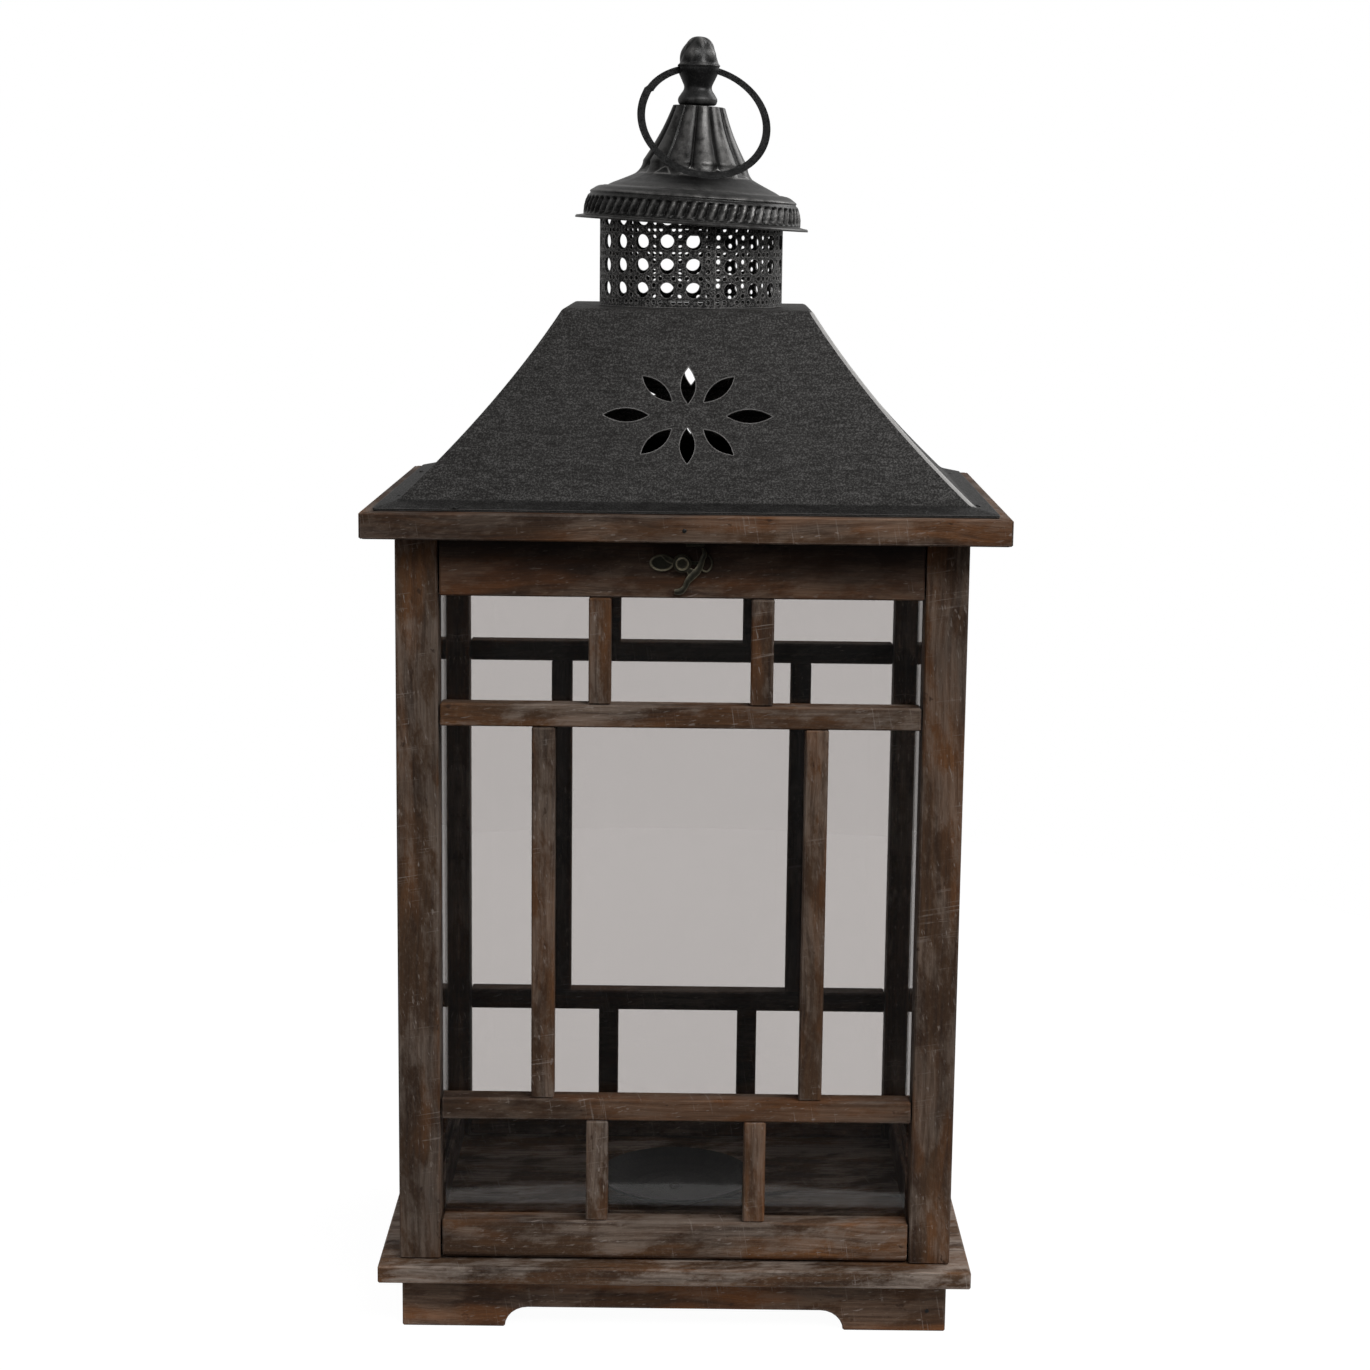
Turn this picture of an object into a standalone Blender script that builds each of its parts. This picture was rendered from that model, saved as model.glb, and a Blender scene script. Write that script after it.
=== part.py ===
"""A wooden candle lantern with a metal roof, a pierced chimney, a hinged cap ring and a drop-down door.

Metres, +Z up. The front (door side) faces -Y, and the origin is on the ground under the middle of the roof.
"""

import math

import bmesh
import bpy
from mathutils import Matrix, Vector
from mathutils.geometry import delaunay_2d_cdt

# Clearances
SEAT_GAP = 0.0003
DOOR_GAP = 0.0009
PIN_GAP = 0.0002

# Wooden body
BODY_WIDTH = 0.262
BODY_DEPTH = 0.194
BODY_HEIGHT = 0.3462
POST_SIZE = 0.0194
EDGE_ROUND = 0.0007

# Plinth and base board
PLINTH_HEIGHT = 0.0253
PLINTH_INSET = 0.001
PLINTH_THICKNESS = 0.012
FOOT_LENGTH = 0.049
ARCH_RISE = 0.0098
ARCH_CORNER = 0.011
BASE_THICKNESS = 0.0084
BASE_OVERHANG = 0.0096

# Eave boards under the roof
EAVE_THICKNESS = 0.0122
EAVE_OVERHANG = 0.016
EAVE_BOARD_WIDTH = 0.040

# Rails and bars of each side
RAIL_DEPTH = 0.0165
BOTTOM_RAIL_HEIGHT = 0.0192
TOP_RAIL_HEIGHT = 0.0263
BAR_DEPTH = 0.011
MID_RAIL_HEIGHT = 0.0105
END_PANE_HEIGHT = 0.0500
LONG_BAR_WIDTH = 0.0107
SHORT_BAR_WIDTH = 0.0103
FRONT_LONG_BAR = 0.0631
FRONT_SHORT_BAR = 0.0373
SIDE_LONG_BAR = 0.0438
SIDE_SHORT_BAR = 0.0259

# Glass panes and the grooves that hold them
GLASS_THICKNESS = 0.0022
GLASS_BITE = 0.0042
GLASS_EDGE_GAP = 0.0008

# Door pivot: two pins through the bottom rail's ends
PIVOT_SETBACK = 0.0045
PIVOT_RISE = 0.0045
PIVOT_PIN_RADIUS = 0.0015
PIVOT_PIN_LENGTH = 0.016
DOOR_HEEL_ROUND = 0.0031

# Roof hood. It and the boards under it sit a little to the right of the body, and turned
ROOF_SHIFT = 0.0025
ROOF_TURN = math.radians(-0.6)
SHEET = 0.0010
ROOF_HEIGHT = 0.0894
ROOF_PLATE_WIDTH = 0.1115
ROOF_PLATE_DEPTH = 0.100
ROOF_FLANGE = 0.0105
ROOF_FLANGE_DROP = 0.0028
ROOF_EDGE_INSET = 0.0055
ROOF_CONCAVITY = 0.24
FLUE_RADIUS = 0.036

# Flower of eight petals cut through each face of the hood
FLOWER_RISE = 0.0418
PETAL_WIDTH = 0.0058
SIDE_PETAL = (0.0182, 0.0385)
UPRIGHT_PETAL = (0.0060, 0.0243)
SLANT_PETAL = (0.0102, 0.0287)
SLANT_ANGLE = math.radians(44)

# Pierced collar, rolled from one strip with a lapped seam
COLLAR_RADIUS = 0.0431
COLLAR_SHEET = 0.0009
HOLE_COLUMNS = 21
HOLE_ROWS = 4
HOLE_RADIUS = 0.00355
COLUMN_ANGLE = math.radians(16.82)
FIRST_COLUMN = math.radians(25.3)
ROW_PITCH = 0.0111
FIRST_ROW = 0.0080
SEAM_START = math.radians(9.9)
SEAM_END = math.radians(14.6)
SEAM_RAMP = math.radians(2.6)

# Cap over the chimney, bent a little to the right by use
CAP_LEAN = math.radians(3.15)
CAP_RISE = 0.1282
CAP_SHEET = 0.0012
BRIM_RADIUS = 0.0561
BRIM_THICKNESS = 0.0014
RIM_BAND_RADIUS = 0.0523
RIM_BAND_START = 0.0036
SHOULDER_RADIUS = 0.0435
SHOULDER_HEIGHT = 0.0162
WAIST_RADIUS = 0.0254
WAIST_HEIGHT = 0.0290
NECK_RADIUS = 0.0126
NECK_HEIGHT = 0.0557
FLUTES = 12
FLUTE_DEPTH = 0.0012
FLUTE_TURN = math.radians(-4.5)

# Strap, bolt and finial
STRAP_WIDTH = 0.012
STRAP_THICKNESS = 0.0015
STRAP_TAB = 0.009
STRAP_DROP = 0.0125
BOLT_RADIUS = 0.0020
BOLT_HEAD_RADIUS = 0.0042
BOLT_HEAD_HEIGHT = 0.0028
BOLT_BITE = 0.011
FINIAL_HEIGHT = 0.0320
FINIAL_BASE_RADIUS = 0.0094
FINIAL_NECK_RADIUS = 0.0065
FINIAL_KNOB_RADIUS = 0.0095
FINIAL_KNOB_RISE = 0.0187
FINIAL_SHIFT = -0.0009
FINIAL_LEAN = math.radians(1.0)
RING_HOLE_RISE = 0.0168

# Ring handle
RING_RADIUS = 0.0302
RING_WIRE = 0.0019
RING_TURN = math.radians(12.0)
RING_HOLE_GAP = 0.00025
RING_SPLIT = math.radians(0.8)
RING_SPLIT_AT = math.radians(146)

# Candle plate
PLATE_RADIUS = 0.0390
PLATE_HEIGHT = 0.0088
PLATE_FLOOR_RADIUS = 0.0165
PLATE_SHEET = 0.0010
PLATE_SCREW_RADIUS = 0.0016
PLATE_SCREW_HEAD = 0.0034
PLATE_SCREW_LENGTH = 0.0072

# Latch on the door's top rail
LATCH_DROP = 0.0099
LATCH_PLATE_THICKNESS = 0.0012
LATCH_PLATE_LEFT = 0.0150
LATCH_PLATE_RIGHT = 0.0136
LATCH_LOBE_HEIGHT = 0.0037
LEVER_THICKNESS = 0.0015
LEVER_HUB = 0.0043
LEVER_NOSE = (0.0096, 0.0068)
LEVER_TAIL = 0.0146
LEVER_TAB_WIDTH = 0.0062
LATCH_PIN_RADIUS = 0.0013
LATCH_BOSS_RADIUS = 0.0032
LATCH_BOSS_HEIGHT = 0.0014
LATCH_PIN_BITE = 0.008
LATCH_RUN = 0.0001
LATCH_LOCK_ANGLE = math.radians(25)
KEEPER_WIDTH = 0.008
KEEPER_LENGTH = 0.009
KEEPER_SHEET = 0.0010
KEEPER_REACH = 0.0026

# Levels that follow from the sizes above
BASE_BOTTOM = PLINTH_HEIGHT + SEAT_GAP
BASE_TOP = BASE_BOTTOM + BASE_THICKNESS
POST_BOTTOM = BASE_TOP + SEAT_GAP
POST_TOP = POST_BOTTOM + BODY_HEIGHT
EAVE_BOTTOM = POST_TOP + SEAT_GAP
EAVE_TOP = EAVE_BOTTOM + EAVE_THICKNESS
HALF_WIDTH = BODY_WIDTH / 2
HALF_DEPTH = BODY_DEPTH / 2
PANE_FRONT = BAR_DEPTH + SEAT_GAP
PANE_BACK = PANE_FRONT + GLASS_THICKNESS
ROOF_BOTTOM = EAVE_TOP + SEAT_GAP
ROOF_TOP = ROOF_BOTTOM + ROOF_HEIGHT
COLLAR_BOTTOM = ROOF_TOP + SEAT_GAP
CHIMNEY_X = ROOF_SHIFT
CAP_Z = EAVE_TOP + CAP_RISE
COLLAR_OUTSIDE = COLLAR_RADIUS + COLLAR_SHEET


def clear_scene():
    for item in list(bpy.data.objects):
        bpy.data.objects.remove(item, do_unlink=True)


def make_material(name, colour, roughness, metallic=0.0, transmission=0.0):
    made = bpy.data.materials.new(name)
    made.use_nodes = True
    shader = made.node_tree.nodes["Principled BSDF"]
    shader.inputs["Base Color"].default_value = (*colour, 1.0)
    shader.inputs["Roughness"].default_value = roughness
    shader.inputs["Metallic"].default_value = metallic
    shader.inputs["Transmission Weight"].default_value = transmission
    return made


def add_object(name, bm, material, origin=(0, 0, 0), parent=None, smooth=None):
    """The bmesh, drawn in its parent's frame, as an object whose own origin is at the given point."""
    bmesh.ops.recalc_face_normals(bm, faces=bm.faces)
    bmesh.ops.translate(bm, verts=bm.verts, vec=-Vector(origin))
    mesh = bpy.data.meshes.new(name)
    bm.to_mesh(mesh)
    bm.free()
    if smooth is not None:
        mesh.shade_smooth()
        mesh.set_sharp_from_angle(angle=smooth)
    made = bpy.data.objects.new(name, mesh)
    bpy.context.scene.collection.objects.link(made)
    made.location = origin
    if parent is not None:
        made.parent = parent
    if material is not None:
        mesh.materials.append(material)
    return made


def round_edges(item, width=EDGE_ROUND):
    """Wears the outer arrises of a wooden piece and leaves the corners inside its grooves square."""
    bm = bmesh.new()
    bm.from_mesh(item.data)
    weight = bm.edges.layers.float.new("bevel_weight_edge")
    for edge in bm.edges:
        if edge.calc_face_angle_signed() > math.radians(40):
            edge[weight] = 1.0
    bm.to_mesh(item.data)
    bm.free()
    bevel = item.modifiers.new("worn arrises", "BEVEL")
    bevel.width = width
    bevel.segments = 1
    bevel.limit_method = "WEIGHT"
    return item


def add_hidden_cutter(name, bm, parent=None):
    cutter = add_object(name, bm, None, parent=parent)
    cutter.hide_render = True
    cutter.display_type = "WIRE"
    return cutter


def cut(item, cutter, operation="DIFFERENCE"):
    modifier = item.modifiers.new(cutter.name, "BOOLEAN")
    modifier.operation = operation
    modifier.solver = "EXACT"
    modifier.object = cutter
    return item


def box_bmesh(low, high):
    bm = bmesh.new()
    bmesh.ops.create_cube(bm, size=1.0)
    size = Vector(high) - Vector(low)
    middle = (Vector(high) + Vector(low)) / 2
    bmesh.ops.scale(bm, verts=bm.verts, vec=size)
    bmesh.ops.translate(bm, verts=bm.verts, vec=middle)
    return bm


def prism_bmesh(outline, start, end, axis="Y"):
    """A closed outline extruded from start to end: (x, z) along Y, (y, z) along X or (x, y) along Z."""
    place = {
        "X": lambda a, b, c: (c, a, b),
        "Y": lambda a, b, c: (a, c, b),
        "Z": lambda a, b, c: (a, b, c),
    }[axis]
    bm = bmesh.new()
    face = bm.faces.new([bm.verts.new(place(a, b, start)) for a, b in outline])
    moved = bmesh.ops.extrude_face_region(bm, geom=[face])
    verts = [v for v in moved["geom"] if isinstance(v, bmesh.types.BMVert)]
    bmesh.ops.translate(bm, verts=verts, vec=Vector(place(0, 0, end - start)))
    return bm


def turned_bmesh(profile, segments, centre=(0, 0, 0)):
    """A closed (radius, height) profile spun about the vertical through the centre."""
    bm = bmesh.new()
    verts = [bm.verts.new((r, 0, z)) for r, z in profile]
    edges = [bm.edges.new(pair) for pair in zip(verts, verts[1:] + verts[:1])]
    edges = [e for e in edges if max(abs(v.co.x) for v in e.verts) > 1e-9]
    bmesh.ops.spin(
        bm,
        geom=verts + edges,
        cent=(0, 0, 0),
        axis=(0, 0, 1),
        angle=2 * math.pi,
        steps=segments,
        use_merge=True,
    )
    bmesh.ops.remove_doubles(bm, verts=bm.verts, dist=1e-7)
    loose = [e for e in bm.edges if not e.link_faces]
    bmesh.ops.delete(bm, geom=loose, context="EDGES")
    bmesh.ops.translate(bm, verts=bm.verts, vec=Vector(centre))
    return bm


def rod_bmesh(start, end, radius, segments=16):
    """A straight round rod between two points."""
    start, end = Vector(start), Vector(end)
    bm = bmesh.new()
    turn = (end - start).to_track_quat("Z", "Y").to_matrix().to_4x4()
    bmesh.ops.create_cone(
        bm,
        cap_ends=True,
        segments=segments,
        radius1=radius,
        radius2=radius,
        depth=(end - start).length,
        matrix=Matrix.Translation((start + end) / 2) @ turn,
    )
    return bm


def arc(centre, radius, first, last, steps):
    """Points on an arc, in degrees from the first coordinate's axis."""
    turns = [math.radians(first + (last - first) * i / steps) for i in range(steps + 1)]
    return [(centre[0] + radius * math.cos(t), centre[1] + radius * math.sin(t)) for t in turns]


def lerp(a, b, share):
    return a + (b - a) * share


def plinth_outline(half_length):
    """One skirt board seen from outside: two feet with a low arch between them."""
    inner = half_length - FOOT_LENGTH
    corner = min(ARCH_CORNER, inner)
    right = [
        (
            inner - corner + corner * math.cos(math.radians(a)),
            ARCH_RISE * math.sin(math.radians(a)),
        )
        for a in (0, 15, 30, 45, 60, 75, 90)
    ]
    left = [(-x, z) for x, z in reversed(right)]
    top = PLINTH_HEIGHT
    outside = [(-half_length, 0), (-half_length, top), (half_length, top), (half_length, 0)]
    return outside + right + left


def build_plinth(wood):
    half_x = HALF_WIDTH - PLINTH_INSET
    half_y = HALF_DEPTH - PLINTH_INSET
    for name, side in (("plinth_front", -1), ("plinth_back", 1)):
        outer = side * half_y
        inner = side * (half_y - PLINTH_THICKNESS)
        bm = prism_bmesh(plinth_outline(half_x), min(outer, inner), max(outer, inner), "Y")
        round_edges(add_object(name, bm, wood))
    reach = half_y - PLINTH_THICKNESS - SEAT_GAP
    for name, side in (("plinth_left", -1), ("plinth_right", 1)):
        outer = side * half_x
        inner = side * (half_x - PLINTH_THICKNESS)
        bm = prism_bmesh(side_plinth_outline(reach), min(outer, inner), max(outer, inner), "X")
        round_edges(add_object(name, bm, wood))


def side_plinth_outline(reach):
    """A side board butts between the front and back boards, which make up the rest of its feet."""
    outline = plinth_outline(HALF_DEPTH - PLINTH_INSET)
    return [(max(-reach, min(reach, y)), z) for y, z in outline]


def build_base(wood):
    half_x = HALF_WIDTH + BASE_OVERHANG
    half_y = HALF_DEPTH + BASE_OVERHANG
    bm = box_bmesh((-half_x, -half_y, BASE_BOTTOM), (half_x, half_y, BASE_TOP))
    board = add_object("base_board", bm, wood)
    round_edges(board)
    hole = rod_bmesh((0, 0, BASE_BOTTOM - 0.001), (0, 0, BASE_TOP + 0.001), PLATE_SCREW_RADIUS + PIN_GAP)
    cut(board, add_hidden_cutter("cut_plate_screw_hole", hole))


def build_posts(wood):
    for name, sx, sy in (
        ("post_front_left", -1, -1),
        ("post_front_right", 1, -1),
        ("post_back_left", -1, 1),
        ("post_back_right", 1, 1),
    ):
        xs = sorted((sx * HALF_WIDTH, sx * (HALF_WIDTH - POST_SIZE)))
        ys = sorted((sy * HALF_DEPTH, sy * (HALF_DEPTH - POST_SIZE)))
        post = add_object(name, box_bmesh((xs[0], ys[0], POST_BOTTOM), (xs[1], ys[1], POST_TOP)), wood)
        round_edges(post)
        if sy < 0:
            inside = sx * (HALF_WIDTH - POST_SIZE)
            deep = inside + sx * (PIVOT_PIN_LENGTH / 2 + SEAT_GAP)
            hole = rod_bmesh(
                (inside - sx * 0.001, PIVOT_Y, PIVOT_Z),
                (deep, PIVOT_Y, PIVOT_Z),
                PIVOT_PIN_RADIUS + PIN_GAP,
            )
            cut(post, add_hidden_cutter("cut_" + name + "_pin_hole", hole))


def build_eaves(wood, frame):
    """Four mitred boards under the roof."""
    out_x = HALF_WIDTH + EAVE_OVERHANG
    out_y = HALF_DEPTH + EAVE_OVERHANG
    in_x = out_x - EAVE_BOARD_WIDTH
    in_y = out_y - EAVE_BOARD_WIDTH
    slip = SEAT_GAP * math.sqrt(0.5)
    long_side = [
        (-out_x + slip, -out_y),
        (out_x - slip, -out_y),
        (in_x - slip, -in_y),
        (-in_x + slip, -in_y),
    ]
    short_side = [(out_x, -out_y + slip), (out_x, out_y - slip), (in_x, in_y - slip), (in_x, -in_y + slip)]
    for name, outline in (
        ("eave_front", long_side),
        ("eave_back", [(-x, -y) for x, y in long_side]),
        ("eave_right", short_side),
        ("eave_left", [(-x, -y) for x, y in short_side]),
    ):
        round_edges(add_object(name, prism_bmesh(outline, EAVE_BOTTOM, EAVE_TOP, "Z"), wood, parent=frame))


# Door pivot line, inside the bottom rail near its front and lower faces
DOOR_BOTTOM = BASE_TOP + DOOR_GAP
DOOR_TOP = EAVE_BOTTOM - DOOR_GAP
PIVOT_Y = -HALF_DEPTH + PIVOT_SETBACK
PIVOT_Z = DOOR_BOTTOM + PIVOT_RISE


def rail_section(bottom, top, groove_up, heel=0.0):
    """(depth, height) outline of a rail: depth runs inwards from the face, with a groove for the pane."""
    near = PANE_FRONT - SEAT_GAP
    far = PANE_BACK + SEAT_GAP
    bite = GLASS_BITE + SEAT_GAP
    if heel > 0:
        front = arc((heel, bottom + heel), heel, 180, 270, 4)
    else:
        front = [(0, bottom)]
    if groove_up:
        return front + [
            (RAIL_DEPTH, bottom),
            (RAIL_DEPTH, top),
            (far, top),
            (far, top - bite),
            (near, top - bite),
            (near, top),
            (0, top),
        ]
    return front + [
        (near, bottom),
        (near, bottom + bite),
        (far, bottom + bite),
        (far, bottom),
        (RAIL_DEPTH, bottom),
        (RAIL_DEPTH, top),
        (0, top),
    ]


def panel_frame(name, turn, outer):
    """An empty whose local X runs along one side of the lantern and whose local Y runs inwards."""
    frame = bpy.data.objects.new(name, None)
    bpy.context.scene.collection.objects.link(frame)
    frame.rotation_euler = (0, 0, turn)
    frame.location = Matrix.Rotation(turn, 3, "Z") @ Vector((0, -outer, 0))
    return frame


def panel_levels(bottom, top):
    """Bottom and top of the lower mid rail, then of the upper one."""
    floor = bottom + BOTTOM_RAIL_HEIGHT
    ceiling = top - TOP_RAIL_HEIGHT
    lower = floor + END_PANE_HEIGHT
    upper = ceiling - END_PANE_HEIGHT
    return lower, lower + MID_RAIL_HEIGHT, upper - MID_RAIL_HEIGHT, upper


def bar(name, frame, wood, x_range, z_range, origin=None):
    low = (x_range[0], 0, z_range[0])
    high = (x_range[1], BAR_DEPTH, z_range[1])
    at = origin or ((low[0] + high[0]) / 2, 0, z_range[0])
    return round_edges(add_object(name, box_bmesh(low, high), wood, origin=at, parent=frame))


def pane(name, frame, glass, half_span, bottom, top, origin=(0, 0, 0)):
    low = (-half_span, PANE_FRONT, bottom + BOTTOM_RAIL_HEIGHT - GLASS_BITE)
    high = (half_span, PANE_BACK, top - TOP_RAIL_HEIGHT + GLASS_BITE)
    return add_object(name, box_bmesh(low, high), glass, origin=origin, parent=frame)


def centred(middle, width):
    return middle - width / 2, middle + width / 2


def build_fixed_side(side, turn, outer, half_span, long_at, short_at, wood, glass):
    """A glazed side: two grooved rails, two mid rails that carry short bars, two long bars and a pane."""
    frame = panel_frame(side + "_side", turn, outer)
    reach = half_span - SEAT_GAP
    bottom = POST_BOTTOM
    top = POST_TOP
    low_rail = prism_bmesh(rail_section(bottom, bottom + BOTTOM_RAIL_HEIGHT, True), -reach, reach, "X")
    round_edges(add_object(side + "_bottom_rail", low_rail, wood, parent=frame))
    high_rail = prism_bmesh(rail_section(top - TOP_RAIL_HEIGHT, top, False), -reach, reach, "X")
    round_edges(add_object(side + "_top_rail", high_rail, wood, parent=frame))
    low, low_top, high, high_top = panel_levels(bottom, top)
    floor = bottom + BOTTOM_RAIL_HEIGHT + SEAT_GAP
    ceiling = top - TOP_RAIL_HEIGHT - SEAT_GAP
    half_bar = SHORT_BAR_WIDTH / 2
    upper = [(-reach, high), (reach, high), (reach, high_top)]
    upper += [(short_at + half_bar, high_top), (short_at + half_bar, ceiling)]
    upper += [(short_at - half_bar, ceiling), (short_at - half_bar, high_top)]
    upper += [(-x, z) for x, z in reversed(upper[2:])]
    bm = prism_bmesh(upper, 0, BAR_DEPTH, "Y")
    round_edges(add_object(side + "_upper_mid_rail", bm, wood, parent=frame))
    lower = [(reach, low_top), (-reach, low_top), (-reach, low)]
    lower += [(-short_at - half_bar, low), (-short_at - half_bar, floor)]
    lower += [(-short_at + half_bar, floor), (-short_at + half_bar, low)]
    lower += [(-x, z) for x, z in reversed(lower[2:])]
    bm = prism_bmesh(lower, 0, BAR_DEPTH, "Y")
    round_edges(add_object(side + "_lower_mid_rail", bm, wood, parent=frame))
    for suffix, sign in (("left", -1), ("right", 1)):
        x_range = centred(sign * long_at, LONG_BAR_WIDTH)
        bar(side + "_long_bar_" + suffix, frame, wood, x_range, (low_top + SEAT_GAP, high - SEAT_GAP))
    pane(side + "_glass", frame, glass, half_span - GLASS_EDGE_GAP, bottom, top)


def build_door(wood, glass, bronze):
    """The drop-down door: the same bars as a fixed side, each its own piece, turning on the pivot pins."""
    door = bpy.data.objects.new("door_pivot", None)
    bpy.context.scene.collection.objects.link(door)
    door.location = (0, PIVOT_Y, PIVOT_Z)
    frame = bpy.data.objects.new("door_leaf", None)
    bpy.context.scene.collection.objects.link(frame)
    frame.parent = door
    frame.location = (0, -PIVOT_SETBACK, -PIVOT_Z)
    half_span = HALF_WIDTH - POST_SIZE
    reach = half_span - DOOR_GAP
    low_rail = prism_bmesh(
        rail_section(DOOR_BOTTOM, DOOR_BOTTOM + BOTTOM_RAIL_HEIGHT, True, DOOR_HEEL_ROUND),
        -reach,
        reach,
        "X",
    )
    rail = round_edges(add_object("door_bottom_rail", low_rail, wood, parent=frame))
    for suffix, sign in (("left", -1), ("right", 1)):
        inner = sign * (half_span - PIVOT_PIN_LENGTH / 2)
        hole = rod_bmesh(
            (sign * (half_span + 0.001), PIVOT_SETBACK, PIVOT_Z),
            (inner - sign * SEAT_GAP, PIVOT_SETBACK, PIVOT_Z),
            PIVOT_PIN_RADIUS + PIN_GAP,
        )
        cut(rail, add_hidden_cutter("cut_door_pin_hole_" + suffix, hole, parent=frame))
        pin = rod_bmesh(
            (sign * (half_span + PIVOT_PIN_LENGTH / 2), PIVOT_Y, PIVOT_Z),
            (inner, PIVOT_Y, PIVOT_Z),
            PIVOT_PIN_RADIUS,
        )
        add_object("door_pin_" + suffix, pin, bronze, origin=(0, PIVOT_Y, PIVOT_Z), smooth=math.radians(40))
    top_section = rail_section(DOOR_TOP - TOP_RAIL_HEIGHT, DOOR_TOP, False)
    top_rail = add_object("door_top_rail", prism_bmesh(top_section, -reach, reach, "X"), wood, parent=frame)
    round_edges(top_rail)
    low, low_top, high, high_top = panel_levels(DOOR_BOTTOM, DOOR_TOP)
    floor = DOOR_BOTTOM + BOTTOM_RAIL_HEIGHT + SEAT_GAP
    ceiling = DOOR_TOP - TOP_RAIL_HEIGHT - SEAT_GAP
    bar("door_upper_mid_rail", frame, wood, (-reach, reach), (high, high_top))
    bar("door_lower_mid_rail", frame, wood, (-reach, reach), (low, low_top))
    for suffix, sign in (("left", -1), ("right", 1)):
        long_range = centred(sign * FRONT_LONG_BAR, LONG_BAR_WIDTH)
        short_range = centred(sign * FRONT_SHORT_BAR, SHORT_BAR_WIDTH)
        bar("door_long_bar_" + suffix, frame, wood, long_range, (low_top + SEAT_GAP, high - SEAT_GAP))
        bar("door_top_short_bar_" + suffix, frame, wood, short_range, (high_top + SEAT_GAP, ceiling))
        bar("door_bottom_short_bar_" + suffix, frame, wood, short_range, (floor, low - SEAT_GAP))
    pane("door_glass", frame, glass, reach - GLASS_EDGE_GAP, DOOR_BOTTOM, DOOR_TOP)
    build_latch(frame, top_rail, bronze)


def latch_height(x):
    """Half height of the latch plate at x from its pin: a leaf, the disc round the pin, then a loop."""
    left_middle = -LATCH_PLATE_LEFT * 0.58
    left_half = LATCH_PLATE_LEFT * 0.42
    right_half = LATCH_PLATE_RIGHT * 0.2
    right_middle = LATCH_PLATE_RIGHT - right_half
    shapes = (
        (left_middle, left_half, LATCH_LOBE_HEIGHT),
        (0.0, LATCH_BOSS_RADIUS * 1.15, LATCH_BOSS_RADIUS * 1.15),
        (right_middle, right_half, LATCH_LOBE_HEIGHT * 1.1),
    )
    best = 0.0
    for middle, half, height in shapes:
        reach = 1 - ((x - middle) / half) ** 2
        if reach > 0:
            best = max(best, height * math.sqrt(reach))
    web = LATCH_LOBE_HEIGHT * 0.45
    if left_middle < x < right_middle:
        best = max(best, web)
    return best


def latch_plate_outline(centre_z):
    steps = 34
    xs = [
        lerp(-LATCH_PLATE_LEFT, LATCH_PLATE_RIGHT, 0.5 - 0.5 * math.cos(math.pi * i / steps))
        for i in range(steps + 1)
    ]
    upper = [(x, centre_z + latch_height(x)) for x in xs[1:-1]]
    lower = [(x, centre_z - latch_height(x)) for x in reversed(xs[1:-1])]
    return [(xs[0], centre_z)] + upper + [(xs[-1], centre_z)] + lower


def lever_outline():
    """The lever's S from its nose, past the pin, to the flared thumb tab: a ribbon of changing width."""
    nose = Vector(LEVER_NOSE)
    tail = Vector((-LEVER_TAB_WIDTH * 0.25, -LEVER_TAIL))
    spine = [
        (nose, 0.0005),
        (nose.lerp(Vector((0, 0)), 0.14) + Vector((0.0002, -0.0014)), 0.0009),
        (nose.lerp(Vector((0, 0)), 0.36) + Vector((0.0006, -0.0032)), 0.0018),
        (Vector((0.0030, -0.0024)), 0.0028),
        (tail.lerp(Vector((0.0030, -0.0024)), 0.62), 0.0022),
        (tail.lerp(Vector((0.0008, -0.0048)), 0.34), 0.0016),
        (tail.lerp(Vector((0.0000, -0.0064)), 0.14), 0.0022),
        (tail, LEVER_TAB_WIDTH / 2),
    ]
    points = [p for p, _ in spine]
    left, right = [], []
    for i, (point, half) in enumerate(spine):
        along = points[min(i + 1, len(points) - 1)] - points[max(i - 1, 0)]
        across = Vector((-along.y, along.x)).normalized() * half
        if i == len(spine) - 1:
            across = Vector((half, 0))
        left.append(point + across)
        right.append(point - across)
    return [tuple(p) for p in left + list(reversed(right))]


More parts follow.
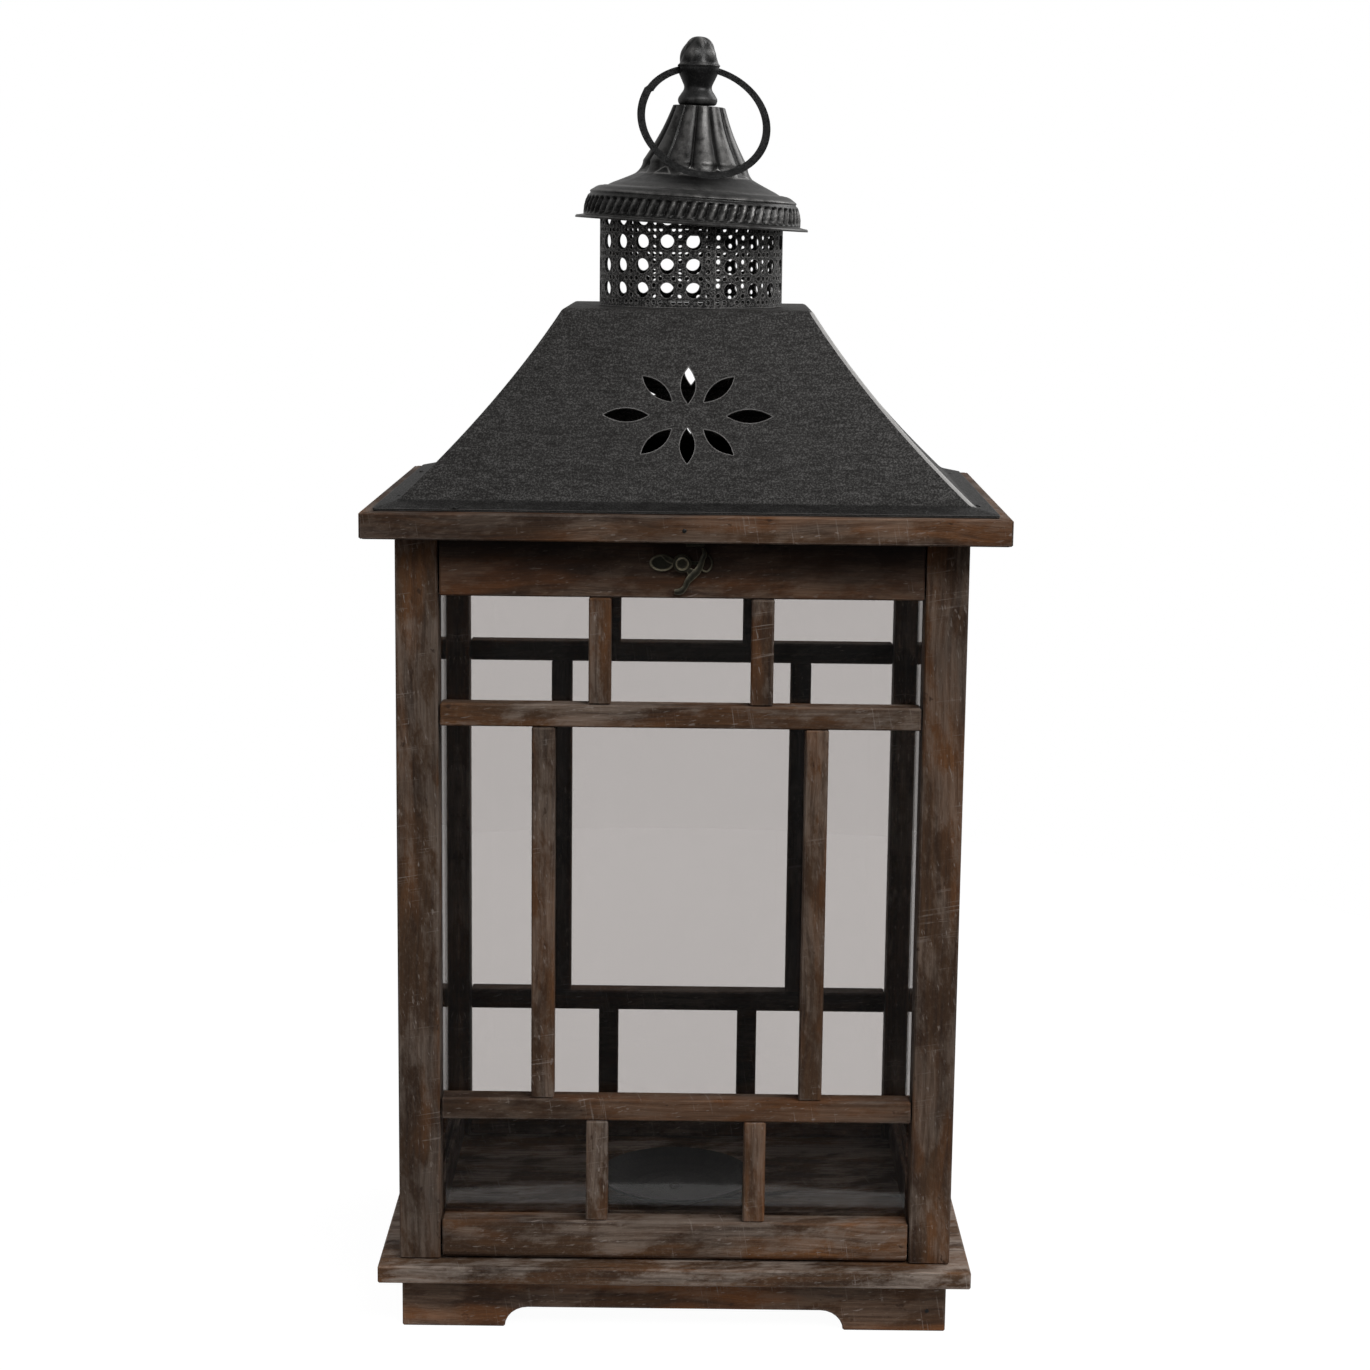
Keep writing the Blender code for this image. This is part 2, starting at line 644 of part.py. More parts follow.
def build_latch(frame, top_rail, bronze):
    centre_z = DOOR_TOP - LATCH_DROP
    plate_back = -SEAT_GAP
    plate_front = plate_back - LATCH_PLATE_THICKNESS
    lever_back = plate_front - SEAT_GAP
    lever_front = lever_back - LEVER_THICKNESS
    boss_back = lever_front - SEAT_GAP
    boss_front = boss_back - LATCH_BOSS_HEIGHT
    smooth = math.radians(35)
    plate = add_object(
        "latch_plate",
        prism_bmesh(latch_plate_outline(centre_z), plate_front, plate_back, "Y"),
        bronze,
        parent=frame,
        smooth=smooth,
    )
    hole = rod_bmesh(
        (0, plate_front - 0.001, centre_z),
        (0, plate_back + 0.001, centre_z),
        LATCH_PIN_RADIUS + LATCH_RUN,
        20,
    )
    cut(plate, add_hidden_cutter("cut_latch_plate_hole", hole, parent=frame))
    bore = rod_bmesh(
        (0, -0.001, centre_z), (0, LATCH_PIN_BITE + SEAT_GAP, centre_z), LATCH_PIN_RADIUS + LATCH_RUN, 20
    )
    cut(top_rail, add_hidden_cutter("cut_latch_pin_bore", bore, parent=frame))
    shank = [(0, LATCH_PIN_BITE), (LATCH_PIN_RADIUS, LATCH_PIN_BITE), (LATCH_PIN_RADIUS, boss_back)]
    head = [(LATCH_BOSS_RADIUS, boss_back), (LATCH_BOSS_RADIUS, lerp(boss_back, boss_front, 0.7))]
    ring = [(LATCH_BOSS_RADIUS * 0.88, boss_front), (LATCH_BOSS_RADIUS * 0.74, boss_front)]
    dish_floor = lerp(boss_back, boss_front, 0.55)
    dish = [(LATCH_BOSS_RADIUS * 0.66, dish_floor), (0, dish_floor)]
    pin = turned_bmesh(shank + head + ring + dish, 20)
    bmesh.ops.rotate(pin, verts=pin.verts, cent=(0, 0, 0), matrix=Matrix.Rotation(math.radians(-90), 3, "X"))
    bmesh.ops.translate(pin, verts=pin.verts, vec=(0, 0, centre_z))
    add_object("latch_pin", pin, bronze, parent=frame, origin=(0, 0, centre_z), smooth=smooth)
    pivot = (0, lever_back, centre_z)
    outline = [(x, z + centre_z) for x, z in lever_outline()]
    lever = add_object(
        "latch_lever",
        prism_bmesh(outline, lever_front, lever_back, "Y"),
        bronze,
        origin=pivot,
        parent=frame,
        smooth=smooth,
    )
    hub = rod_bmesh((0, lever_front, centre_z), (0, lever_back, centre_z), LEVER_HUB, 24)
    cut(lever, add_hidden_cutter("join_lever_hub", hub, parent=frame), "UNION")
    eye = rod_bmesh(
        (0, lever_front - 0.001, centre_z),
        (0, lever_back + 0.001, centre_z),
        LATCH_PIN_RADIUS + LATCH_RUN,
        20,
    )
    cut(lever, add_hidden_cutter("cut_lever_eye", eye, parent=frame))
    build_keeper(lever_front, bronze)


def build_keeper(lever_front, bronze):
    """The angle under the front eave that the lever's nose turns up behind."""
    nose = math.hypot(*LEVER_NOSE)
    locked = math.atan2(LEVER_NOSE[1], LEVER_NOSE[0]) + LATCH_LOCK_ANGLE
    middle = nose * math.cos(locked)
    back = -HALF_DEPTH + lever_front - 2 * SEAT_GAP
    top = EAVE_BOTTOM - SEAT_GAP
    section = [
        (back, top - KEEPER_REACH),
        (back, top),
        (back - KEEPER_LENGTH, top),
        (back - KEEPER_LENGTH, top - KEEPER_SHEET),
        (back - KEEPER_SHEET, top - KEEPER_SHEET),
        (back - KEEPER_SHEET, top - KEEPER_REACH),
    ]
    bm = prism_bmesh(section, middle - KEEPER_WIDTH / 2, middle + KEEPER_WIDTH / 2, "X")
    add_object("latch_keeper", bm, bronze, origin=(middle, back, top))


def roof_share(level):
    """Share of the hood's way in to its top plate at a level from 0 to 1: a concave sweep."""
    return level + ROOF_CONCAVITY * level * (1 - level)


ROOF_LEVELS = (0.0, 0.1, 0.22, 0.36, 0.5, 0.65, 0.82, 1.0)


def roof_rings():
    """(half width, half depth, height) rings of the hood's skin, from the flange's edge to the top plate."""
    edge_x = HALF_WIDTH + EAVE_OVERHANG - ROOF_EDGE_INSET
    edge_y = HALF_DEPTH + EAVE_OVERHANG - ROOF_EDGE_INSET
    foot_x = edge_x - ROOF_FLANGE
    foot_y = edge_y - ROOF_FLANGE
    foot_z = ROOF_BOTTOM + SHEET + ROOF_FLANGE_DROP
    rings = [(edge_x, edge_y, ROOF_BOTTOM + SHEET)]
    for level in ROOF_LEVELS:
        share = roof_share(level)
        rings.append(
            (
                lerp(foot_x, ROOF_PLATE_WIDTH / 2, share),
                lerp(foot_y, ROOF_PLATE_DEPTH / 2, share),
                lerp(foot_z, ROOF_TOP, level),
            )
        )
    return rings


def inner_rings(rings):
    """The same rings one sheet thickness inside, measured square to each slope."""
    made = []
    for i, (x, y, z) in enumerate(rings):
        before = rings[max(i - 1, 0)]
        after = rings[min(i + 1, len(rings) - 1)]
        rise = after[2] - before[2]
        in_x = before[0] - after[0]
        in_y = before[1] - after[1]
        shrink_x = SHEET * rise / math.hypot(rise, in_x)
        shrink_y = SHEET * rise / math.hypot(rise, in_y)
        drop = SHEET if i in (0, len(rings) - 1) else SHEET * in_x / math.hypot(rise, in_x)
        if i == 0:
            shrink_x = shrink_y = 0.0
        made.append((x - shrink_x, y - shrink_y, z - drop))
    return made


def face_point(rings, side, across, height):
    """The point on one sloping face at a height, for placing the flower."""
    for (x0, y0, z0), (x1, y1, z1) in zip(rings, rings[1:]):
        if z0 <= height <= z1:
            share = (height - z0) / (z1 - z0)
            out = lerp(y0, y1, share) if side == "long" else lerp(x0, x1, share)
            slope = math.atan2(z1 - z0, (y0 - y1) if side == "long" else (x0 - x1))
            return Vector((across, -out, height)), slope
    raise ValueError("the flower lies outside the hood's face")


def petal_outline(near, far, turn):
    """A lens between two radii, turned about the flower's middle."""
    length = far - near
    half = PETAL_WIDTH / 2
    sweep = (length**2 / 4 + half**2) / (2 * half)
    points = []
    steps = 6
    for sign in (1, -1):
        for i in range(steps):
            along = length * i / steps if sign > 0 else length * (1 - i / steps)
            rise = math.sqrt(max(sweep**2 - (along - length / 2) ** 2, 0)) - (sweep - half)
            points.append((near + along, sign * rise))
    cos, sin = math.cos(turn), math.sin(turn)
    return [(x * cos - y * sin, x * sin + y * cos) for x, y in points]


def flower_cutter(rings, side, turn):
    """Eight petal prisms standing square to one face of the hood."""
    height = ROOF_BOTTOM + FLOWER_RISE
    middle, slope = face_point(rings, side, 0.0, height)
    place = (
        Matrix.Rotation(turn, 4, "Z") @ Matrix.Translation(middle) @ Matrix.Rotation(slope, 4, "X")
    )
    bm = bmesh.new()
    petals = [(SIDE_PETAL, 0.0), (SIDE_PETAL, math.pi)]
    petals += [(UPRIGHT_PETAL, math.pi / 2), (UPRIGHT_PETAL, -math.pi / 2)]
    for turn_in in (SLANT_ANGLE, math.pi - SLANT_ANGLE, math.pi + SLANT_ANGLE, -SLANT_ANGLE):
        petals.append((SLANT_PETAL, turn_in))
    for (near, far), turn_in in petals:
        outline = petal_outline(near, far, turn_in)
        face = bm.faces.new([bm.verts.new(place @ Vector((x, y, -6 * SHEET))) for x, y in outline])
        moved = bmesh.ops.extrude_face_region(bm, geom=[face])
        verts = [v for v in moved["geom"] if isinstance(v, bmesh.types.BMVert)]
        lift = place.to_3x3() @ Vector((0, 0, 12 * SHEET))
        bmesh.ops.translate(bm, verts=verts, vec=lift)
    return bm


def build_roof(metal, frame):
    rings = roof_rings()
    bm = bmesh.new()
    skins = []
    for skin in (rings, inner_rings(rings)):
        loops = []
        for x, y, z in skin:
            corners = ((-x, -y), (x, -y), (x, y), (-x, y))
            loops.append([bm.verts.new((across, inward, z)) for across, inward in corners])
        skins.append(loops)
    for loops in skins:
        for low, high in zip(loops, loops[1:]):
            for i in range(4):
                bm.faces.new((low[i], low[(i + 1) % 4], high[(i + 1) % 4], high[i]))
        bm.faces.new(loops[-1])
    for i in range(4):
        outer, inner = skins[0][0], skins[1][0]
        bm.faces.new((outer[i], outer[(i + 1) % 4], inner[(i + 1) % 4], inner[i]))
    roof = add_object("roof_hood", bm, metal, parent=frame)
    flue = rod_bmesh(
        (0, 0, ROOF_TOP - 6 * SHEET), (0, 0, ROOF_TOP + 2 * SHEET), FLUE_RADIUS, 32
    )
    cut(roof, add_hidden_cutter("cut_flue", flue, frame))
    for name, side, turn in (
        ("cut_flower_front", "long", 0.0),
        ("cut_flower_back", "long", math.pi),
        ("cut_flower_left", "short", -math.pi / 2),
        ("cut_flower_right", "short", math.pi / 2),
    ):
        cut(roof, add_hidden_cutter(name, flower_cutter(rings, side, turn), frame))
    return roof


def cap_profile():
    """(radius, height) of the cap's outside: the brim, a rolled band, a flare in to the waist, a slim cone."""
    points = [(BRIM_RADIUS, 0.0), (BRIM_RADIUS, BRIM_THICKNESS), (RIM_BAND_RADIUS, BRIM_THICKNESS + 0.0004)]
    for turn in (0, 18, 36, 52, 68, 84):
        share = math.radians(turn)
        r = lerp(SHOULDER_RADIUS, RIM_BAND_RADIUS, math.cos(share))
        points.append((r, lerp(RIM_BAND_START, SHOULDER_HEIGHT, math.sin(share))))
    for share in (0.05, 0.22, 0.42, 0.66, 1.0):
        r = lerp(WAIST_RADIUS, SHOULDER_RADIUS, (1 - share) ** 2)
        points.append((r, lerp(SHOULDER_HEIGHT, WAIST_HEIGHT, share)))
    steps = 4
    for i in range(1, steps + 1):
        share = i / steps
        sag = 0.08 * (WAIST_RADIUS - NECK_RADIUS) * math.sin(math.pi * share)
        radius = lerp(WAIST_RADIUS, NECK_RADIUS, share) - sag
        points.append((radius, lerp(WAIST_HEIGHT, NECK_HEIGHT, share)))
    return points


def cap_lining():
    """The cap's inside, one sheet thickness in, from the brim's foot to the top."""
    outer = cap_profile()
    made = [(RIM_BAND_RADIUS - CAP_SHEET, 0.0)]
    for i in range(3, len(outer)):
        before, after = outer[i - 1], outer[min(i + 1, len(outer) - 1)]
        along = Vector((after[0] - before[0], after[1] - before[1])).normalized()
        r = outer[i][0] - CAP_SHEET * along.y
        if outer[i][1] > WAIST_HEIGHT:
            r -= FLUTE_DEPTH
        made.append((r, outer[i][1] + CAP_SHEET * along.x))
    return made


def collar_top():
    """The collar reaches up until its rim meets the leaning cap's lining on the low side."""
    lining = cap_lining()
    radius = COLLAR_OUTSIDE
    for (r0, z0), (r1, z1) in zip(lining[1:], lining[2:]):
        if r1 <= radius <= r0:
            z = lerp(z0, z1, (r0 - radius) / (r0 - r1))
            return CAP_Z + z * math.cos(CAP_LEAN) - radius * math.sin(CAP_LEAN) - 2 * SEAT_GAP
    raise ValueError("the collar is wider than the cap")


def build_cap(metal, frame):
    """Turned shell, then twelve flutes pressed in along its bell."""
    outer = cap_profile()
    lining = cap_lining()
    segments = FLUTES * 4
    top = outer[-1][1]
    hole = BOLT_RADIUS + PIN_GAP + abs(FINIAL_SHIFT) + CAP_SHEET / 4
    profile = outer + [(hole, top), (hole, lining[-1][1])] + lining[::-1]
    bm = turned_bmesh(profile, segments)
    edge = {(round(r, 6), round(z, 6)) for r, z in outer if z > (SHOULDER_HEIGHT + WAIST_HEIGHT) / 2}
    for vert in bm.verts:
        radius = math.hypot(vert.co.x, vert.co.y)
        if (round(radius, 6), round(vert.co.z, 6)) not in edge:
            continue
        turn = math.atan2(vert.co.y, vert.co.x)
        shrink = 1 - FLUTE_DEPTH * (0.5 - 0.5 * math.cos(FLUTES * turn)) / radius
        vert.co.x *= shrink
        vert.co.y *= shrink
    bmesh.ops.rotate(bm, verts=bm.verts, matrix=Matrix.Rotation(FLUTE_TURN, 3, "Z"))
    add_object("cap", bm, metal, parent=frame, smooth=math.radians(50))


def build_collar(metal):
    """A pierced strip, netted flat, then rolled up with its end lapped over its start."""
    height = collar_top() - COLLAR_BOTTOM
    start = SEAM_START
    end = 2 * math.pi + SEAM_END
    outline = [Vector((start, 0)), Vector((end, 0)), Vector((end, height)), Vector((start, height))]
    ramp_from = 2 * math.pi + SEAM_START - SEAM_RAMP - math.radians(0.3)
    verts, loops = [], []

    def add_loop(points):
        first = len(verts)
        verts.extend(points)
        loops.append([first + i for i in range(len(points))])

    border = []
    for a, b in zip(outline, outline[1:] + outline[:1]):
        steps = 63 if abs(b.x - a.x) > 1 else 1
        border += [a.lerp(b, i / steps) for i in range(steps)]
    add_loop(border)
    for turn in (ramp_from, ramp_from + SEAM_RAMP):
        verts.extend([Vector((turn, 0)), Vector((turn, height))])
    ramp_edges = [(len(verts) - 4, len(verts) - 3), (len(verts) - 2, len(verts) - 1)]
    sides = 10
    for column in range(HOLE_COLUMNS):
        for row in range(HOLE_ROWS):
            middle = Vector((FIRST_COLUMN + column * COLUMN_ANGLE, FIRST_ROW + row * ROW_PITCH))
            ring = []
            for i in range(sides):
                turn = 2 * math.pi * (i + 0.5) / sides
                reach = Vector((math.cos(turn) / COLLAR_OUTSIDE, math.sin(turn)))
                ring.append(middle + HOLE_RADIUS * reach)
            add_loop(ring)
    edges = [(a, b) for loop in loops for a, b in zip(loop, loop[1:] + loop[:1])] + ramp_edges
    scale = Vector((COLLAR_OUTSIDE, 1))
    flat = [Vector((v.x * scale.x, v.y)) for v in verts]
    points, _, faces, _, _, _ = delaunay_2d_cdt(flat, edges, [], 1, 1e-8)
    middles = [
        Vector(((FIRST_COLUMN + c * COLUMN_ANGLE) * scale.x, FIRST_ROW + r * ROW_PITCH))
        for c in range(HOLE_COLUMNS)
        for r in range(HOLE_ROWS)
    ]

    def in_hole(face):
        middle = sum((points[i] for i in face), Vector((0, 0))) / len(face)
        column = round((middle.x / scale.x - FIRST_COLUMN) / COLUMN_ANGLE)
        row = round((middle.y - FIRST_ROW) / ROW_PITCH)
        column = max(0, min(HOLE_COLUMNS - 1, column))
        row = max(0, min(HOLE_ROWS - 1, row))
        return (middle - middles[column * HOLE_ROWS + row]).length < HOLE_RADIUS * math.cos(math.pi / sides)

    def rolled(point, depth):
        turn = point.x / scale.x
        lift = (COLLAR_SHEET + SEAT_GAP) * max(0.0, min(1.0, (turn - ramp_from) / SEAM_RAMP))
        radius = COLLAR_OUTSIDE - depth + lift
        across = CHIMNEY_X + radius * math.sin(turn)
        return Vector((across, -radius * math.cos(turn), COLLAR_BOTTOM + point.y))

    bm = bmesh.new()
    front = [bm.verts.new(rolled(p, 0.0)) for p in points]
    back = [bm.verts.new(rolled(p, COLLAR_SHEET)) for p in points]
    for face in faces:
        if not in_hole(face):
            bm.faces.new([front[i] for i in face])
            bm.faces.new([back[i] for i in reversed(face)])
    for edge in [e for e in bm.edges if len(e.link_faces) == 1 and e.verts[0] in set(front)]:
        a, b = edge.verts
        first, second = front.index(a), front.index(b)
        bm.faces.new([a, b, back[second], back[first]])
    bmesh.ops.delete(bm, geom=[v for v in bm.verts if not v.link_faces], context="VERTS")
    add_object("chimney_collar", bm, metal, smooth=math.radians(40))


def finial_profile():
    knob_z = FINIAL_KNOB_RISE
    return [
        (0, FINIAL_HEIGHT),
        (0.0024, FINIAL_HEIGHT - 0.0007),
        (0.0048, lerp(knob_z, FINIAL_HEIGHT, 0.82)),
        (0.0072, lerp(knob_z, FINIAL_HEIGHT, 0.56)),
        (0.0089, lerp(knob_z, FINIAL_HEIGHT, 0.28)),
        (FINIAL_KNOB_RADIUS, knob_z),
        (lerp(FINIAL_NECK_RADIUS, FINIAL_KNOB_RADIUS, 0.86), lerp(0, knob_z, 0.82)),
        (lerp(FINIAL_NECK_RADIUS, FINIAL_KNOB_RADIUS, 0.42), lerp(0, knob_z, 0.62)),
        (FINIAL_NECK_RADIUS, lerp(0, knob_z, 0.44)),
        (lerp(FINIAL_NECK_RADIUS, FINIAL_BASE_RADIUS, 0.35), lerp(0, knob_z, 0.30)),
        (FINIAL_BASE_RADIUS, lerp(0, knob_z, 0.17)),
        (FINIAL_BASE_RADIUS * 0.97, lerp(0, knob_z, 0.06)),
        (FINIAL_BASE_RADIUS * 0.88, 0),
    ]


def cap_distance(point):
    """Distance from a point in the cap's frame to the outside of its bell."""
    radial = Vector((math.hypot(point.x, point.y), point.z))
    profile = [Vector(p) for p in cap_profile()]
    best = 1.0
    for a, b in zip(profile, profile[1:]):
        along = b - a
        share = max(0.0, min(1.0, (radial - a).dot(along) / along.length_squared))
        best = min(best, (radial - (a + along * share)).length)
    return best


def ring_hole_radius():
    """The straight hole clears the wire's own curve over the knob's width."""
    sag = RING_RADIUS - math.sqrt(RING_RADIUS**2 - FINIAL_KNOB_RADIUS**2)
    return RING_WIRE + sag / 2 + RING_HOLE_GAP, sag / 2


def ring_centre(angle):
    drop = RING_RADIUS - ring_hole_radius()[1]
    return Vector((0, -drop * math.sin(angle), RING_HOLE_RISE - drop * math.cos(angle)))


def crown_matrix():
    """From the finial's frame to the cap's: the finial is bolted on a little off centre and straighter."""
    tilt = CAP_LEAN - FINIAL_LEAN
    rise = cap_profile()[-1][1] + SEAT_GAP + FINIAL_BASE_RADIUS * abs(math.sin(tilt))
    return Matrix.Translation((FINIAL_SHIFT, 0, rise)) @ Matrix.Rotation(-tilt, 4, "Y")


def ring_rest_angle():
    """The ring falls forward from level until it leans on the cap."""
    to_cap = crown_matrix() @ Matrix.Rotation(RING_TURN, 4, "Z")
    angle = math.radians(90)
    while angle > 0:
        middle = ring_centre(angle)
        down = Vector((0, -math.sin(angle), -math.cos(angle)))
        clear = 1.0
        for i in range(-125, 126, 2):
            turn = math.radians(i)
            point = middle + RING_RADIUS * (math.cos(turn) * down + math.sin(turn) * Vector((1, 0, 0)))
            clear = min(clear, cap_distance(to_cap @ point))
        if clear < RING_WIRE + SEAT_GAP:
            return angle
        angle -= math.radians(0.1)
    raise ValueError("the ring does not reach the cap")


def build_crown(metal, cap_frame):
    """Strap, bolt, finial and ring. The bolt hangs from the finial and pulls the cap down on the strap."""
    frame = bpy.data.objects.new("finial_axis", None)
    bpy.context.scene.collection.objects.link(frame)
    frame.parent = cap_frame
    frame.matrix_basis = crown_matrix()
    base = cap_frame.matrix_basis @ frame.matrix_basis @ Vector((0, 0, 0))
    along = Vector((math.sin(FINIAL_LEAN), 0, math.cos(FINIAL_LEAN)))
    strap_top = collar_top() - STRAP_DROP
    bolt_x = base.x - (base.z - strap_top) * math.tan(FINIAL_LEAN)
    reach = COLLAR_RADIUS - SEAT_GAP - COLLAR_SHEET * 0.2
    half = math.sqrt(reach**2 - (STRAP_WIDTH / 2) ** 2)
    left, right = CHIMNEY_X - half, CHIMNEY_X + half
    section = [
        (left, strap_top - STRAP_TAB),
        (left, strap_top),
        (right, strap_top),
        (right, strap_top - STRAP_TAB),
        (right - STRAP_THICKNESS, strap_top - STRAP_TAB),
        (right - STRAP_THICKNESS, strap_top - STRAP_THICKNESS),
        (left + STRAP_THICKNESS, strap_top - STRAP_THICKNESS),
        (left + STRAP_THICKNESS, strap_top - STRAP_TAB),
    ]
    bm = prism_bmesh(section, -STRAP_WIDTH / 2, STRAP_WIDTH / 2, "Y")
    strap = add_object("cap_strap", bm, metal)
    middle = Vector((bolt_x, 0, strap_top))
    strap_hole = rod_bmesh(
        middle - 4 * STRAP_THICKNESS * along,
        middle + 4 * STRAP_THICKNESS * along,
        BOLT_RADIUS + 2 * PIN_GAP,
    )
    cut(strap, add_hidden_cutter("cut_strap_hole", strap_hole))
    drop = (base.z - strap_top + STRAP_THICKNESS) / math.cos(FINIAL_LEAN)
    head_top = -drop - SEAT_GAP - BOLT_HEAD_RADIUS * math.tan(FINIAL_LEAN)
    profile = [
        (0, BOLT_BITE),
        (BOLT_RADIUS, BOLT_BITE),
        (BOLT_RADIUS, head_top),
        (BOLT_HEAD_RADIUS, head_top),
        (BOLT_HEAD_RADIUS, head_top - BOLT_HEAD_HEIGHT),
        (0, head_top - BOLT_HEAD_HEIGHT),
    ]
    add_object("finial_bolt", turned_bmesh(profile, 16), metal, parent=frame, smooth=math.radians(40))
    bm = turned_bmesh(finial_profile(), 24)
    finial = add_object("finial", bm, metal, parent=frame, smooth=math.radians(40))
    socket = rod_bmesh((0, 0, -0.002), (0, 0, BOLT_BITE + SEAT_GAP), BOLT_RADIUS + PIN_GAP)
    cut(finial, add_hidden_cutter("cut_finial_socket", socket, frame))
    across = Matrix.Rotation(RING_TURN, 3, "Z") @ Vector((2 * FINIAL_KNOB_RADIUS, 0, 0))
    middle = Vector((0, 0, RING_HOLE_RISE))
    ring_hole = rod_bmesh(middle - across, middle + across, ring_hole_radius()[0])
    cut(finial, add_hidden_cutter("cut_ring_hole", ring_hole, frame))
    build_ring(metal, frame)


def build_ring(metal, frame):
    pivot = bpy.data.objects.new("ring_pivot", None)
    bpy.context.scene.collection.objects.link(pivot)
    pivot.parent = frame
    pivot.location = (0, 0, RING_HOLE_RISE)
    rest = ring_rest_angle()
    pivot.rotation_euler = (-rest, 0, RING_TURN)
    drop = RING_RADIUS - ring_hole_radius()[1]
    sides = 8
    bm = bmesh.new()
    start = RING_SPLIT_AT + RING_SPLIT / 2
    sweep = 2 * math.pi - RING_SPLIT
    around = Vector((math.cos(start), 0, math.sin(start)))
    circle = []
    for i in range(sides):
        turn = 2 * math.pi * i / sides
        out, aside = RING_WIRE * math.cos(turn), RING_WIRE * math.sin(turn)
        point = around * (RING_RADIUS + out) + Vector((0, aside, 0))
        circle.append(bm.verts.new(point))
    face = bm.faces.new(circle)
    edges = list(face.edges)
    spun = bmesh.ops.spin(
        bm, geom=edges, cent=(0, 0, 0), axis=(0, -1, 0), angle=sweep, steps=44, use_merge=False
    )
    last = [e for e in spun["geom_last"] if isinstance(e, bmesh.types.BMEdge)]
    bmesh.ops.contextual_create(bm, geom=last)
    bmesh.ops.translate(bm, verts=bm.verts, vec=(0, 0, -drop))
    add_object("ring_handle", bm, metal, parent=pivot, smooth=math.radians(60))
    print("ring rest angle, degrees:", round(math.degrees(rest), 2))


def build_candle_plate(metal):
    """A shallow turned dish on the floor, held by one screw."""
    low = BASE_TOP + SEAT_GAP
    outer, inner = [], []
    steps = 4
    for i in range(steps + 1):
        share = i / steps
        r = lerp(PLATE_FLOOR_RADIUS, PLATE_RADIUS, share)
        z = low + (PLATE_HEIGHT - PLATE_SHEET) * share**1.6
        outer.append((r, z))
        inner.append((max(r - PLATE_SHEET * 0.35, 0), z + PLATE_SHEET))
    hole = PLATE_SCREW_RADIUS + PIN_GAP
    profile = inner[::-1] + [(hole, low + PLATE_SHEET), (hole, low)] + outer
    add_object("candle_plate", turned_bmesh(profile, 36), metal, smooth=math.radians(30))
    seat = low + PLATE_SHEET + SEAT_GAP
    dome = [
        (PLATE_SCREW_HEAD * math.sin(t), seat + 0.0004 + 0.0012 * math.cos(t))
        for t in (0, 0.5, 1.0, 1.4)
    ]
    profile = dome + [
        (PLATE_SCREW_HEAD, seat),
        (PLATE_SCREW_RADIUS, seat),
        (PLATE_SCREW_RADIUS, seat - PLATE_SCREW_LENGTH),
        (0, seat - PLATE_SCREW_LENGTH),
    ]
    add_object("plate_screw", turned_bmesh(profile, 16), metal, smooth=math.radians(40))


def stand_under_roof():
    """Moves everything so that the origin lies under the roof's middle."""
    ground = bpy.data.objects.new("lantern_frame", None)
    loose = [item for item in bpy.context.scene.collection.objects if item.parent is None]
    bpy.context.scene.collection.objects.link(ground)
    ground.location = (-ROOF_SHIFT, 0, 0)
    for item in loose:
        item.parent = ground


def main():
    clear_scene()
    wood = make_material("washed_wood", (0.075, 0.045, 0.030), 0.72)
    glass = make_material("window_glass", (0.83, 0.84, 0.83), 0.03, transmission=1.0)
    roof_metal = make_material("roof_sheet", (0.045, 0.043, 0.041), 0.55, 0.8)
    black_metal = make_material("blackened_iron", (0.018, 0.018, 0.018), 0.5, 0.7)
    bronze = make_material("latch_bronze", (0.10, 0.075, 0.045), 0.45, 0.9)
    build_plinth(wood)
    build_base(wood)
    build_posts(wood)
    roof_frame = bpy.data.objects.new("roof_axis", None)
    bpy.context.scene.collection.objects.link(roof_frame)
    roof_frame.location = (ROOF_SHIFT, 0, 0)
    roof_frame.rotation_euler = (0, 0, ROOF_TURN)
    build_eaves(wood, roof_frame)
    span_x = HALF_WIDTH - POST_SIZE
    span_y = HALF_DEPTH - POST_SIZE
    build_fixed_side("back", math.pi, HALF_DEPTH, span_x, FRONT_LONG_BAR, FRONT_SHORT_BAR, wood, glass)
    build_fixed_side("left", -math.pi / 2, HALF_WIDTH, span_y, SIDE_LONG_BAR, SIDE_SHORT_BAR, wood, glass)
    build_fixed_side("right", math.pi / 2, HALF_WIDTH, span_y, SIDE_LONG_BAR, SIDE_SHORT_BAR, wood, glass)
    build_door(wood, glass, bronze)
    build_roof(roof_metal, roof_frame)
    build_collar(black_metal)
    cap_frame = bpy.data.objects.new("cap_axis", None)
    bpy.context.scene.collection.objects.link(cap_frame)
    cap_frame.matrix_basis = Matrix.Translation((CHIMNEY_X, 0, CAP_Z)) @ Matrix.Rotation(CAP_LEAN, 4, "Y")
    build_cap(black_metal, cap_frame)
    build_crown(black_metal, cap_frame)
    build_candle_plate(black_metal)
    stand_under_roof()


main()
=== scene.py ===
"""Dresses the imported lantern: timber, glass, roof sheet, pierced chimney, cap, finial, ring and latch."""

import math

import bmesh
import bpy
from bmesh.types import BMEdge, BMVert
from mathutils import Matrix, Vector


